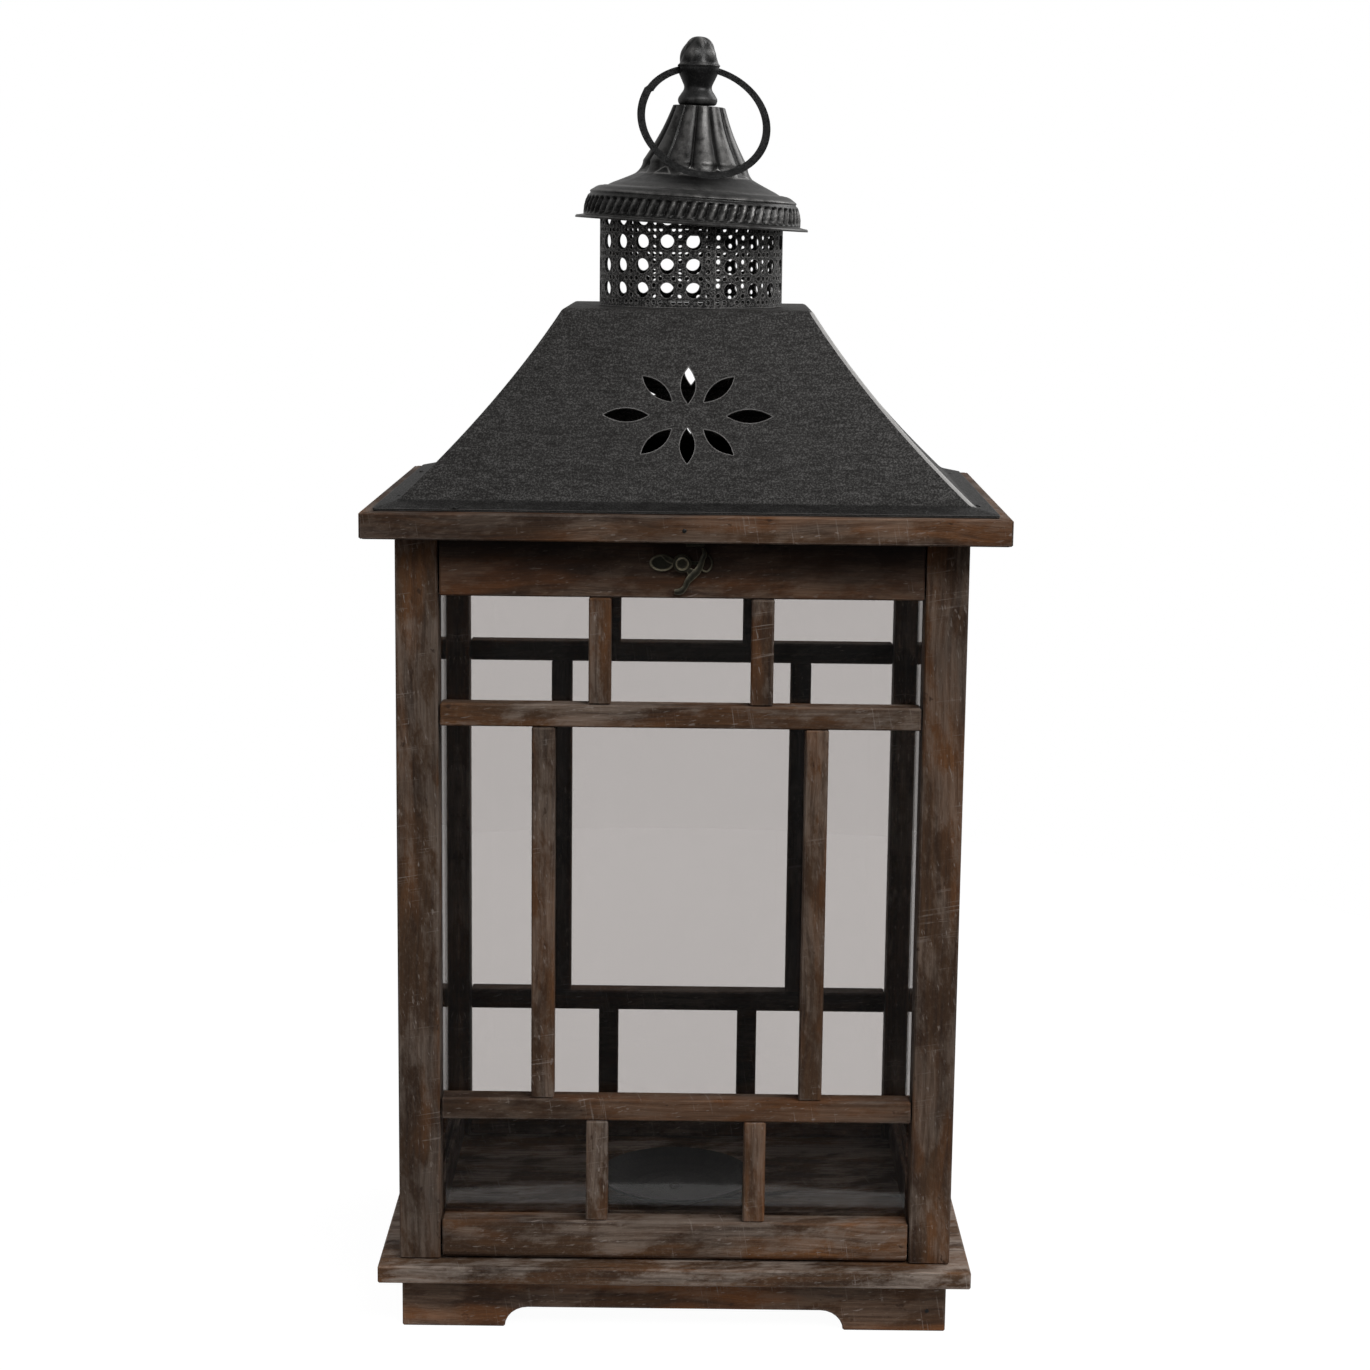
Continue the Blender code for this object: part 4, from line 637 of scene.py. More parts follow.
def hood_ring(level):
    """Half width, half depth, height and lean of the hood's skin at a level from 0 at its foot to 1."""
    share = level + HOOD_HOLLOW * level * (1 - level)
    return (
        FLANGE_FOOT[0] + (HOOD_PLATE[0] - FLANGE_FOOT[0]) * share,
        FLANGE_FOOT[1] + (HOOD_PLATE[1] - FLANGE_FOOT[1]) * share,
        FLANGE_TOP + FLANGE_RISE + (HOOD_HEAD - FLANGE_TOP - FLANGE_RISE) * level,
        HOOD_LEAN * share,
    )


def cut_away(item, cutter):
    """Cuts a bmesh out of a piece and keeps only the result."""
    tool = mesh_object("cutter", cutter)
    mesh = tool.data
    cutting = item.modifiers.new("cut", "BOOLEAN")
    cutting.operation = "DIFFERENCE"
    cutting.solver = "EXACT"
    cutting.object = tool
    depsgraph = bpy.context.evaluated_depsgraph_get()
    made = bpy.data.meshes.new_from_object(item.evaluated_get(depsgraph))
    item.modifiers.clear()
    old = item.data
    item.data = made
    bpy.data.meshes.remove(old)
    bpy.data.objects.remove(tool)
    bpy.data.meshes.remove(mesh)


class LANTERN_OT_roof(Step, bpy.types.Operator):
    """Folds the hood from sheet and cuts its flue hole and the flower in each of its faces"""

    bl_idname = "lantern.roof"
    bl_label = "Fold the roof"

    def make(self, sizes, colours):
        bm = bmesh.new()
        x, y = (foot + FLANGE_WIDTH for foot in FLANGE_FOOT)
        corners = [bm.verts.new((a * x, b * y, FLANGE_TOP)) for a, b in ((-1, -1), (1, -1), (1, 1), (-1, 1))]
        edges = [bm.edges.new(pair) for pair in zip(corners, corners[1:] + corners[:1])]
        for level in (step / HOOD_STEPS for step in range(HOOD_STEPS + 1)):
            x, y, z, lean = hood_ring(level)
            made = bmesh.ops.extrude_edge_only(bm, edges=edges)["geom"]
            verts = set(verts_of(made))
            edges = [e for e in edges_of(made) if set(e.verts) <= verts]
            for vert in verts:
                vert.co = Vector((math.copysign(x, vert.co.x) + lean, math.copysign(y, vert.co.y), z))
        bmesh.ops.contextual_create(bm, geom=edges)
        top = set(edges)
        folds = [e for e in bm.edges if e in top or abs(e.verts[0].co.z - e.verts[1].co.z) > 1e-5]
        fold_level = hood_ring(0)[2]
        folds += [e for e in bm.edges if all(abs(v.co.z - fold_level) < 1e-6 for v in e.verts)]
        shape = {"offset": HOOD_FOLD, "offset_type": "OFFSET", "segments": 3, "profile": 0.5}
        rounded = bmesh.ops.bevel(bm, geom=folds, affect="EDGES", material=-1, **shape)["faces"]
        face_out(bm)
        # The rounded hips on the right side get the second, brighter sheet: rubbed metal and a painted highlight
        # where the light from the right falls.
        for face in rounded:
            hip = min(abs(face.normal.x), abs(face.normal.y)) > 0.15
            face.material_index = 1 if hip and face.calc_center_median().x > 0 else 0
        bmesh.ops.solidify(bm, geom=bm.faces, thickness=HOOD_SHEET)
        # Painted shade: the hood's inner shell is coloured near black, and its flange darker where it faces the
        # light from above.
        inside = bm.verts.layers.float.new("inside")
        foot = FLANGE_TOP + FLANGE_RISE
        for vert in bm.verts:
            level = max(0.0, min(1.0, (vert.co.z - foot) / (HOOD_HEAD - foot)))
            x, y, z, lean = hood_ring(level)
            depth = min(x - abs(vert.co.x - lean), y - abs(vert.co.y))
            low = vert.co.z < HOOD_HEAD - 0.6 * HOOD_SHEET
            # The flange gets a share of the painted shade, darker than the slopes above it.
            flange = 0.55 if vert.co.z < foot + 0.0004 else 0.0
            vert[inside] = 1.0 if low and depth > 0.6 * HOOD_SHEET else flange
        bmesh.ops.rotate(bm, verts=bm.verts, cent=(0, 0, 0), matrix=Matrix.Rotation(ROOF_TURN, 3, "Z"))
        face_out(bm)
        powder = brighter(colours.rubbed, 1.35)
        edge = (0.0008, 0.45)
        material = sheet_material("brushed_roof", colours.roof, powder, 0.08, 0.65, 0.45, edge, gloss=0.12)
        item = new_piece("pressed_hood", bm, "lantern", material, 24.0, ["roof_hood"])
        # Brighter coat for the right-hand hips: worn metal and a painted highlight.
        bright = brighter(colours.rubbed, 0.75)
        rubbed_and_highlit_hip_sheet = sheet_material("rubbed_hip", bright, colours.rubbed, 0.2, 0.5, 0.5, (0.0004, 0.2))
        item.data.materials.append(rubbed_and_highlit_hip_sheet)
        cut_away(item, self.flowers(sizes.petal_width))
        item.data.set_sharp_from_angle(angle=math.radians(24))

    def flowers(self, petal_width):
        """The flue hole and eight petals square to each face, as one cutter."""
        bm = bmesh.new()
        add_drum(bm, FLUE_RADIUS, 0.012, 96, Matrix.Translation((0, 0, HOOD_HEAD)))
        low, high = hood_ring(0), hood_ring(1)
        level = (FLOWER_LEVEL - low[2]) / (high[2] - low[2])
        here, next_up = hood_ring(level), hood_ring(level + 0.01)
        for side in range(4):
            axis = side % 2
            slope = math.atan2(next_up[2] - here[2], here[1 - axis] - next_up[1 - axis])
            facing = Matrix.Rotation(ROOF_TURN + side * QUARTER, 4, "Z")
            out = Matrix.Translation((0, -here[1 - axis], FLOWER_LEVEL))
            place = facing @ out @ Matrix.Rotation(slope, 4, "X")
            for near, far, turn in PETALS:
                self.petal(bm, near, far, petal_width, place @ Matrix.Rotation(math.radians(turn), 4, "Z"))
        face_out(bm)
        return bm

    def petal(self, bm, near, far, width, place):
        """A pointed oval prism from near to far along X."""
        half = (far - near) / 2
        made = bmesh.ops.create_circle(bm, cap_ends=True, segments=28, radius=half)
        face = next(iter({f for v in made["verts"] for f in v.link_faces}))
        for vert in made["verts"]:
            along = min(1.0, abs(vert.co.x) / half)
            across = math.copysign(width / 2 * (1 - along**2), vert.co.y)
            vert.co = Vector((vert.co.x + near + half, across, -0.004))
        top = verts_of(bmesh.ops.extrude_face_region(bm, geom=[face])["geom"])
        bmesh.ops.translate(bm, verts=top, vec=(0, 0, 0.008))
        verts = list({*made["verts"], *top})
        bmesh.ops.remove_doubles(bm, verts=verts, dist=2e-5)
        bmesh.ops.transform(bm, matrix=place, verts=[v for v in verts if v.is_valid])


def add_nail(bm, place, facing, radius):
    """A low round nail head on a face that looks along facing."""
    turn = Vector((0, 0, 1)).rotation_difference(Vector(facing)).to_matrix().to_4x4()
    place = Matrix.Translation(place) @ turn @ Matrix.Diagonal((1, 1, 0.42, 1))
    bmesh.ops.create_uvsphere(bm, u_segments=14, v_segments=8, radius=radius, matrix=place)


class LANTERN_OT_nails(Step, bpy.types.Operator):
    """Adds the nails that hold the flange, the eave and the plinth"""

    bl_idname = "lantern.nails"
    bl_label = "Add the nails"

    def make(self, sizes, colours):
        dark = crest_material("nail_iron", colours.iron, colours.rubbed, 0.6, 0.5)
        radius = sizes.nail_head
        flange = bmesh.new()
        front = ((0.1067, -0.1043), (-0.1050, -0.1055), (0.1321, -0.0900), (-0.1335, -0.0720))
        rear = ((-0.1357, 0.0528), (0.1340, 0.0680), (0.1060, 0.1043), (-0.1050, 0.1043))
        for x, y in front + rear:
            reach = max(abs(x) - FLANGE_FOOT[0], abs(y) - FLANGE_FOOT[1]) / FLANGE_WIDTH
            z = FLANGE_TOP + FLANGE_RISE * (1 - reach)
            add_nail(flange, (x, y, z), (0, 0, 1), radius)
        new_piece("flange_nails", flange, "lantern", dark)
        boards = bmesh.new()
        for place in ((-0.0016, EAVE_FACE, 0.3864), (0.1186, PLINTH_FACE, 0.0104)):
            add_nail(boards, place, (0, -1, 0), radius * 0.7)
        new_piece("board_nails", boards, "lantern", dark)


def pierced_cell(bm, low, high, foot, head, holes):
    """One flat patch of the net, from low to high and foot to head, with its round holes."""
    corners = ((low, foot), (high, foot), (high, head), (low, head))
    rim = []
    for (x0, z0), (x1, z1) in zip(corners, corners[1:] + corners[:1]):
        steps = max(1, round(abs(x1 - x0) / 0.0021) + round(abs(z1 - z0) / 0.0056))
        for share in (i / steps for i in range(steps)):
            rim.append(bm.verts.new((x0 + (x1 - x0) * share, z0 + (z1 - z0) * share, 0)))
    edges = [bm.edges.new(pair) for pair in zip(rim, rim[1:] + rim[:1])]
    for x, z, radius, sides in holes:
        place = Matrix.Translation((x, z, 0))
        edges += edges_round(bmesh.ops.create_circle(bm, segments=sides, radius=radius, matrix=place))
    bmesh.ops.triangle_fill(bm, use_beauty=True, use_dissolve=False, edges=edges)


class LANTERN_OT_chimney(Step, bpy.types.Operator):
    """Pierces the cane pattern in a flat sheet and rolls it into the chimney"""

    bl_idname = "lantern.chimney"
    bl_label = "Roll the chimney"

    def make(self, sizes, colours):
        pitch = COLUMN_ANGLE * COLLAR_SKIN
        rise, side, split, rows = 0.0111, 0.0032, 0.0045, 4
        first, first_row = FIRST_COLUMN * COLLAR_SKIN, 0.0080
        head = 0.00395
        foot = head - rise
        small = (sizes.small_hole, 10)
        corner = [(pitch / 2, y, *small) for y in (-rise / 2, -rise / 2 + side, rise / 2 - side)]
        beside = [(x, -rise / 2, *small) for x in (pitch / 2 - side, side - pitch / 2)]
        bm = bmesh.new()
        pierced_cell(bm, -split, pitch - split, foot, head, [(0, 0, sizes.big_hole, 28), *corner, *beside])
        bmesh.ops.translate(bm, verts=bm.verts, vec=(first, first_row, 0))
        self.repeat(bm, COLUMNS, (pitch, 0, 0))
        before = set(bm.verts)
        pierced_cell(bm, split, pitch - split, foot, head, corner)
        lead = [v for v in bm.verts if v not in before]
        bmesh.ops.translate(bm, verts=lead, vec=(first - pitch, first_row, 0))
        self.repeat(bm, rows, (0, rise, 0))
        bmesh.ops.remove_doubles(bm, verts=bm.verts, dist=2e-5)
        margins = (
            (0, first - pitch + split, SEAM_START * COLLAR_SKIN),
            (0, first + COLUMNS * pitch - split, SEAM_END * COLLAR_SKIN),
            (1, first_row + foot, 0.0),
            (1, first_row + (rows - 1) * rise + head, COLLAR_HEAD - COLLAR_FOOT),
        )
        for margin in margins:
            self.add_margin(bm, *margin)
        face_out(bm)
        self.roll(bm)
        face_out(bm)
        bmesh.ops.solidify(bm, geom=bm.faces, thickness=COLLAR_SHEET)
        face_out(bm)
        powder = brighter(colours.rubbed, 1.4)
        material = sheet_material("pierced_sheet", colours.iron, powder, 0.7, 0.8, 1.5, (0.0005, 0.8))
        new_piece("pierced_chimney", bm, "lantern", material, 30.0, ["chimney_collar"])

    def repeat(self, bm, count, step):
        """Copies all there is so that it stands count times, each a step further."""
        pattern = list(bm.verts) + list(bm.edges) + list(bm.faces)
        for number in range(1, count):
            copy = bmesh.ops.duplicate(bm, geom=pattern)["geom"]
            bmesh.ops.translate(bm, verts=verts_of(copy), vec=Vector(step) * number)

    def add_margin(self, bm, axis, level, target):
        """A plain strip from the net's end at a level to the sheet's own end."""
        edge = [e for e in bm.edges if e.is_boundary and all(abs(v.co[axis] - level) < 1e-5 for v in e.verts)]
        made = bmesh.ops.extrude_edge_only(bm, edges=edge)["geom"]
        shift = Vector()
        shift[axis] = target - level
        bmesh.ops.translate(bm, verts=verts_of(made), vec=shift)

    def roll(self, bm):
        """Bends the flat sheet round, its end lapped over its start."""
        ramp = math.radians(367.0)
        for vert in bm.verts:
            turn = vert.co.x / COLLAR_SKIN
            turn += FAR_TURN * 0.5 * (1 - math.cos(turn - math.radians(13)))
            lift = 0.0012 * ease(vert.co.x / COLLAR_SKIN, ramp, ramp + math.radians(2.6))
            radius = COLLAR_SKIN + lift
            vert.co = Vector((radius * math.sin(turn), -radius * math.cos(turn), COLLAR_FOOT + vert.co.y))


class LANTERN_OT_cap(Step, bpy.types.Operator):
    """Spins the cap, rolls the ridges into its rim and presses the flutes into its bell"""

    bl_idname = "lantern.cap"
    bl_label = "Shape the cap"

    def make(self, sizes, colours):
        rim = [(0.0560, 0.0001), (0.0561, 0.0008), (0.0556, 0.0014), (0.0535, 0.0017), (0.0520, 0.0021)]
        band = []
        for i in range(33):
            turn = math.radians(-8 + 98 * i / 32)
            z = BAND_FOOT + BAND_RISE * math.sin(turn)
            bead = 0.0005 * peak(z, BEAD_LEVEL, 0.0007) - 0.0006 * peak(z, 0.0121, 0.0005)
            band.append((BAND_RADIUS + BAND_SWELL * math.cos(turn) + bead, z))
        step = [(0.0431, 0.01640), (0.0424, 0.01610), (0.0416, 0.01625), (0.0408, 0.01680)]
        flare = []
        for share in (i / 16 for i in range(1, 17)):
            flare.append((BELL_RADIUS + 0.0181 * 0.86 * (1 - share) ** 2, FLARE_FOOT + FLARE_RISE * share))
        bell = []
        for share in (i / 28 for i in range(1, 29)):
            sag = 0.08 * BELL_TAPER * math.sin(math.pi * share)
            bell.append((BELL_RADIUS - BELL_TAPER * share - sag, BELL_FOOT + BELL_RISE * share))
        outer = rim + band + step + flare + bell
        top = outer[-1][1]
        head = [(0.0118, top + 0.0002), (0.0040, top + 0.0002), (0.0034, top - 0.0010)]
        lining = [(0.0105, top - 0.0018)]
        for share in (0.75, 0.5, 0.25, 0.0):
            lining.append((BELL_RADIUS - BELL_TAPER * share - 0.0034, BELL_FOOT + BELL_RISE * share - 0.0006))
        lining += [(0.0270, 0.0238), (0.0332, 0.0182), (0.0405, 0.0150)]
        lining += [(0.0470, 0.0118), (0.0500, 0.0072), (0.0508, 0.0002)]
        bm = lathe(outer + head + lining + [outer[0]], 368)
        crest = bm.verts.layers.float.new("crest")
        for vert in bm.verts:
            radius = math.hypot(vert.co.x, vert.co.y)
            z = vert.co.z
            turn = math.atan2(vert.co.x, -vert.co.y)
            vert[crest] = 0.0
            if radius <= self.skin(z) - 0.0009:
                continue
            if RIDGES_FOOT < z < RIDGES_HEAD and radius > 0.045:
                hold = ease(z, RIDGES_FOOT, 0.0040) * (1 - ease(z, 0.0094, RIDGES_HEAD))
                wave = 0.5 + 0.5 * math.cos(sizes.rim_ridges * (turn - (z - 0.007) * 6.5))
                depth = sizes.ridge_depth * hold * (1 - wave**0.8)
                draw_in(vert, radius, depth)
                # Ridge crests are rubbed bright, and brighter towards the key light's side: painted highlight.
                vert[crest] = (0.01 + 0.36 * hold * wave**3) * (0.85 + 0.75 * math.cos(turn - PAINTED_LIGHT_SIDE))
            elif FLUTES_FOOT - 0.0035 < z <= top + 0.0003 and radius > 0.0110:
                step_angle = 2 * math.pi / sizes.flutes
                across = ((turn - FLUTE_MIDDLE) / step_angle + 0.5) % 1.0 - 0.5
                u = across / 0.48
                down = max(0.0, (FLUTES_FOOT + FLUTE_TAIL - z) / FLUTE_TAIL)
                level = 1 - u * u - down * down
                bulge = math.sqrt(level) if level > 0 else 0.0
                sunk = ease(z, FLUTES_FOOT - 0.0035, FLUTES_FOOT + 0.0025) * min(1.0, radius / 0.0170) ** 1.5
                draw_in(vert, radius, sizes.flute_depth * sunk * (1 - bulge))
                # The rounded lower lip of each flute is painted bright where it catches the light, and the
                # crests brighter towards the key light's side: painted highlight.
                painted_lip_highlight = peak(level, 0.12, 0.14) * ease(down, 0.2, 0.6)
                vert[crest] = (0.01 + 0.26 * bulge**4 + 0.26 * painted_lip_highlight) * (0.85 + 0.5 * math.cos(turn - PAINTED_LIGHT_SIDE))
            elif z > RIDGES_HEAD:
                vert[crest] = 0.08 + 0.30 * peak(z, BEAD_LEVEL, 0.0006) + 0.20 * peak(z, 0.0164, 0.0004)
            else:
                vert[crest] = 0.18
        place_all(bm, cap_matrix())
        face_out(bm)
        material = crest_material("rubbed_cap", colours.iron, colours.rubbed, 0.6, 0.36, gloss=0.14)
        new_piece("fluted_cap", bm, "lantern", material, 40.0, ["cap"])

    def skin(self, z):
        """Radius of the cap's outside at a height, near enough to tell it from the lining."""
        if z < BAND_FOOT:
            return 0.0515
        if z < BAND_FOOT + BAND_RISE:
            return BAND_RADIUS + BAND_SWELL * math.sqrt(max(0.0, 1 - ((z - BAND_FOOT) / BAND_RISE) ** 2))
        if z < BELL_FOOT:
            share = (z - FLARE_FOOT) / FLARE_RISE
            return BELL_RADIUS + 0.0156 * (1 - max(0.0, share)) ** 2
        return BELL_RADIUS - BELL_TAPER * (z - BELL_FOOT) / BELL_RISE - 0.001


class LANTERN_OT_finial(Step, bpy.types.Operator):
    """Turns the finial, carves its knob with scales and drills the eye that the ring turns in"""

    bl_idname = "lantern.finial"
    bl_label = "Carve the finial"

    def make(self, sizes, colours):
        foot = [(0.0083, 0.0), (0.0091, 0.0008), (0.0094, 0.0028), (0.0082, 0.0050), (0.0069, 0.0070)]
        waist = [(0.0067, 0.0088), (0.0077, 0.0112), (0.0091, 0.0142), (0.0098, 0.0163), (0.0098, 0.0180)]
        knob = [(0.0096, 0.0200), (0.0091, 0.0230), (0.0081, 0.0262), (0.0065, 0.0290), (0.0042, 0.0311)]
        outline = foot + waist + knob + [(0.0018, 0.0319), (0.0, 0.03198)]
        bm = lathe([(0.0, 0.0)] + blend_points(outline, 5), 96)
        crest = bm.verts.layers.float.new("crest")
        for vert in bm.verts:
            radius = math.hypot(vert.co.x, vert.co.y)
            turn = math.atan2(vert.co.y, vert.co.x)
            z = vert.co.z
            hold = ease(z, CARVING_FOOT, CARVING_FOOT + 0.0020)
            twist = 95.0 * z * (1 + 6.0 * max(0.0, z - 0.018))
            first = 0.5 + 0.5 * math.cos(SCALE_ROWS * turn + 4.1 * twist)
            second = 0.5 + 0.5 * math.cos(SCALE_ROWS * turn - 4.1 * twist + 0.8)
            lump = (first * second) ** 0.45
            depth = sizes.scale_depth * hold * (1 - lump) * min(1.0, radius / 0.004)
            ledge = 0.0006 * peak(z, 0.0186, 0.0006)
            if radius > 1e-5:
                draw_in(vert, radius, depth - ledge)
            vert[crest] = hold * lump**3 * 0.6 + 0.12 * peak(z, 0.0022, 0.0012) + 0.015
        material = crest_material("carved_finial", colours.iron, colours.rubbed, 0.3, 0.40, gloss=0.3)
        place_all(bm, finial_matrix())
        item = new_piece("carved_finial", bm, "lantern", material, 50.0, ["finial"])
        across = bmesh.new()
        add_drum(across, EYE_RADIUS, 0.04, 32, eye_matrix() @ Matrix.Rotation(QUARTER, 4, "Y"))
        cut_away(item, across)
        item.data.set_sharp_from_angle(angle=math.radians(50))


class LANTERN_OT_ring(Step, bpy.types.Operator):
    """Bends the carrying ring from wire, its two ends meeting a little out of line"""

    bl_idname = "lantern.ring"
    bl_label = "Bend the ring"

    def make(self, sizes, colours):
        sag = RING_RADIUS - math.sqrt(RING_RADIUS**2 - EYE_HALF_LENGTH**2)
        drop = RING_RADIUS - sag / 2
        start = RING_JOINT + RING_GAP / 2
        sweep = 2 * math.pi - RING_GAP
        bm = bmesh.new()
        out = Matrix.Translation((RING_RADIUS, 0, 0)) @ Matrix.Rotation(QUARTER, 4, "X")
        place = Matrix.Rotation(-start, 4, "Y") @ out
        wire = bmesh.ops.create_circle(bm, cap_ends=True, segments=20, radius=sizes.ring_wire, matrix=place)
        spun = bmesh.ops.spin(bm, geom=edges_round(wire), axis=(0, -1, 0), angle=sweep, steps=150)
        bmesh.ops.contextual_create(bm, geom=edges_of(spun["geom_last"]))
        crest = bm.verts.layers.float.new("crest")
        for vert in bm.verts:
            turn = (math.atan2(vert.co.z, vert.co.x) - start) % (2 * math.pi)
            across = math.hypot(vert.co.x, vert.co.z)
            offset = 0.00042 * math.exp(-turn / 0.10) - 0.00028 * math.exp(-(sweep - turn) / 0.10)
            vert.co.x *= 1 + offset / across
            vert.co.z *= 1 + offset / across
            vert[crest] = 0.03 + 0.03 * math.cos(7 * turn)
        bmesh.ops.translate(bm, verts=bm.verts, vec=(0, 0, -drop))
        place_all(bm, eye_matrix() @ Matrix.Rotation(-RING_REST, 4, "X"))
        face_out(bm)
        material = crest_material("ring_iron", colours.iron, (0.12, 0.12, 0.12), 0.0, 0.55, gloss=0.08)
        new_piece("carrying_ring", bm, "ring", material, 50.0, ["ring_handle"])


class LANTERN_OT_small_iron(Step, bpy.types.Operator):
    """Finishes the strap, bolt, pins, candle plate and its screw"""

    bl_idname = "lantern.small_iron"
    bl_label = "Finish the small iron"

    def make(self, sizes, colours):
        iron = sheet_material("plain_iron", colours.iron, colours.rubbed, 0.5, 0.3, 0.5, (0.0006, 0.4))
        for name in ("cap_strap", "finial_bolt", "door_pin_left", "door_pin_right", "plate_screw"):
            finish_node(name, iron)
        worn = (0.07, 0.07, 0.07)
        dish = sheet_material("candle_plate_coat", colours.dish, worn, 0.0, 0.05, 0.10, (0.0006, 0.25), 0.1)
        finish_node("candle_plate", dish)


BLADE = (
    (0.0094, 0.0070, 0.0007),
    (0.0101, 0.0044, 0.0011),
    (0.00925, 0.0022, 0.0012),
    (0.0084, -0.00055, 0.0013),
    (0.0071, -0.0033, 0.0016),
    (0.0049, -0.0055, 0.0017),
    (0.0027, -0.0080, 0.0014),
    (0.0014, -0.0108, 0.0012),
    (-0.0001, -0.0126, 0.0014),
    (-0.0017, -0.0131, 0.0014),
    (-0.0034, -0.0130, 0.0011),
)
WEB = ((0.0022, -0.0020, 0.0006), (0.0040, -0.0040, 0.0018), (0.0060, -0.0052, 0.0020))
LEAF = (
    (-0.0027, 0.0, 0.0005),
    (-0.0046, 0.0008, 0.0012),
    (-0.0066, 0.0019, 0.0013),
    (-0.0083, 0.0029, 0.0008),
    (-0.0095, 0.0034, 0.0002),
)


def latch_place():
    """From the latch's own plane, X across, Y up and Z towards the front, to its place on the top rail."""
    return Matrix.Translation((LATCH_ACROSS, LATCH_FACE, LATCH_MIDDLE)) @ Matrix.Rotation(QUARTER, 4, "X")


def add_blade(bm, crest, points, foot, head, dome):
    """A domed blade along (across, up, half width) points, its edges rubbed bright."""
    path = [Vector(point) for point in blend_points(points, 5)]
    last = len(path) - 1
    grid = bmesh.ops.create_grid(bm, x_segments=last, y_segments=6, size=0.5)["verts"]
    faces = {f for v in grid for f in v.link_faces}
    for vert in grid:
        i = round((vert.co.x + 0.5) * last)
        t = 2 * vert.co.y
        here, before, after = path[i], path[max(i - 1, 0)], path[min(i + 1, last)]
        along = (after - before).to_2d().normalized()
        vert.co = Vector((here.x - along.y * t * here.z, here.y + along.x * t * here.z, head - dome * t * t))
        vert[crest] = 0.08 + 0.5 * t**4
    made = bmesh.ops.extrude_face_region(bm, geom=list(faces), use_keep_orig=True)["geom"]
    for vert in verts_of(made):
        vert.co.z = foot


def add_loop(bm, crest, middle, half, wire, height, bright):
    """An oval loop of round wire lying in the latch's plane."""
    place = Matrix.Translation((half[0], 0, 0)) @ Matrix.Rotation(QUARTER, 4, "X")
    ring = bmesh.ops.create_circle(bm, segments=10, radius=wire, matrix=place)
    before = set(bm.verts) - set(ring["verts"])
    bmesh.ops.spin(bm, geom=edges_round(ring), axis=(0, 0, 1), angle=2 * math.pi, steps=40, use_merge=True)
    for vert in set(bm.verts) - before:
        turn = math.atan2(vert.co.y, vert.co.x)
        out = math.hypot(vert.co.x, vert.co.y) - half[0]
        normal = Vector((math.cos(turn) / half[0], math.sin(turn) / half[1])).normalized()
        up = vert.co.z
        vert.co.x = middle[0] + half[0] * math.cos(turn) + out * normal.x
        vert.co.y = middle[1] + half[1] * math.sin(turn) + out * normal.y
        vert.co.z = height + up
        vert[crest] = 0.06 + bright * max(0.0, up / wire) * (0.6 - 0.4 * math.sin(turn + 0.6))


class LANTERN_OT_latch(Step, bpy.types.Operator):
    """Forms the swivel latch: cast plate, raised boss and a curved lever"""

    bl_idname = "lantern.latch"
    bl_label = "Form the latch"

    def make(self, sizes, colours):
        brass = crest_material("aged_brass", (0.012, 0.012, 0.008), colours.brass, 0.6, 0.40, gloss=0.4)
        for name, made, body, node in (
            ("swivel_plate", self.plate(), "door", "latch_plate"),
            ("boss_ring", self.boss(), "door", "latch_pin"),
            ("swivel_lever", self.lever(), "latch", "latch_lever"),
        ):
            place_all(made, latch_place())
            face_out(made)
            new_piece(name, made, body, brass, 40.0, [node])
        finish_node("latch_keeper", brass)

    def plate(self):
        bm = bmesh.new()
        crest = bm.verts.layers.float.new("crest")
        back = (((-0.0092, 0), (0.0054, 0.0036), 0.0005), ((0, 0), (0.0036, 0.0036), 0.0010))
        for middle, half, height in back:
            place = Matrix.Translation((*middle, height / 2)) @ Matrix.Diagonal((*half, 1, 1))
            add_drum(bm, 1, height, 40, place)
        tongue = Matrix.Translation((0.0056, 0, 0.0005)) @ Matrix.Diagonal((0.0056, 0.0016, 0.0008, 1))
        bmesh.ops.create_cube(bm, size=1, matrix=tongue)
        for vert in bm.verts:
            vert[crest] = 0.04
        add_loop(bm, crest, (-0.0092, 0), (0.0052, 0.0035), 0.00055, 0.0007, 0.9)
        add_loop(bm, crest, (0.0108, 0), (0.0027, 0.0038), 0.00050, 0.0005, 0.5)
        add_blade(bm, crest, LEAF, 0.0002, 0.00135, 0.0004)
        return bm

    def boss(self):
        rise = [(0.0, 0.0036), (0.0020, 0.0036), (0.0023, 0.0044), (0.0026, 0.0047), (0.0030, 0.0046)]
        side = [(0.0032, 0.0042), (0.0032, 0.0033)]
        shank = [(LATCH_SHANK, 0.0033), (LATCH_SHANK, -0.0080), (0.0, -0.0080)]
        bm = lathe(rise + side + shank, 40)
        crest = bm.verts.layers.float.new("crest")
        for vert in bm.verts:
            vert[crest] = 0.75 if vert.co.z > 0.0043 else 0.05
        return bm

    def lever(self):
        inner, outer = LATCH_SHANK + 0.0002, 0.0043
        profile = ((inner, 0.0015), (inner, 0.0028), (outer - 0.0004, 0.0028), (outer, 0.0024), (outer, 0.0015))
        bm = lathe((*profile, profile[0]), 40)
        crest = bm.verts.layers.float.new("crest")
        for vert in bm.verts:
            vert[crest] = 0.12 if vert.co.z > 0.0023 else 0.05
        add_blade(bm, crest, WEB, 0.0016, 0.0025, 0.0002)
        add_blade(bm, crest, BLADE, 0.0015, 0.0030, 0.0006)
        return bm


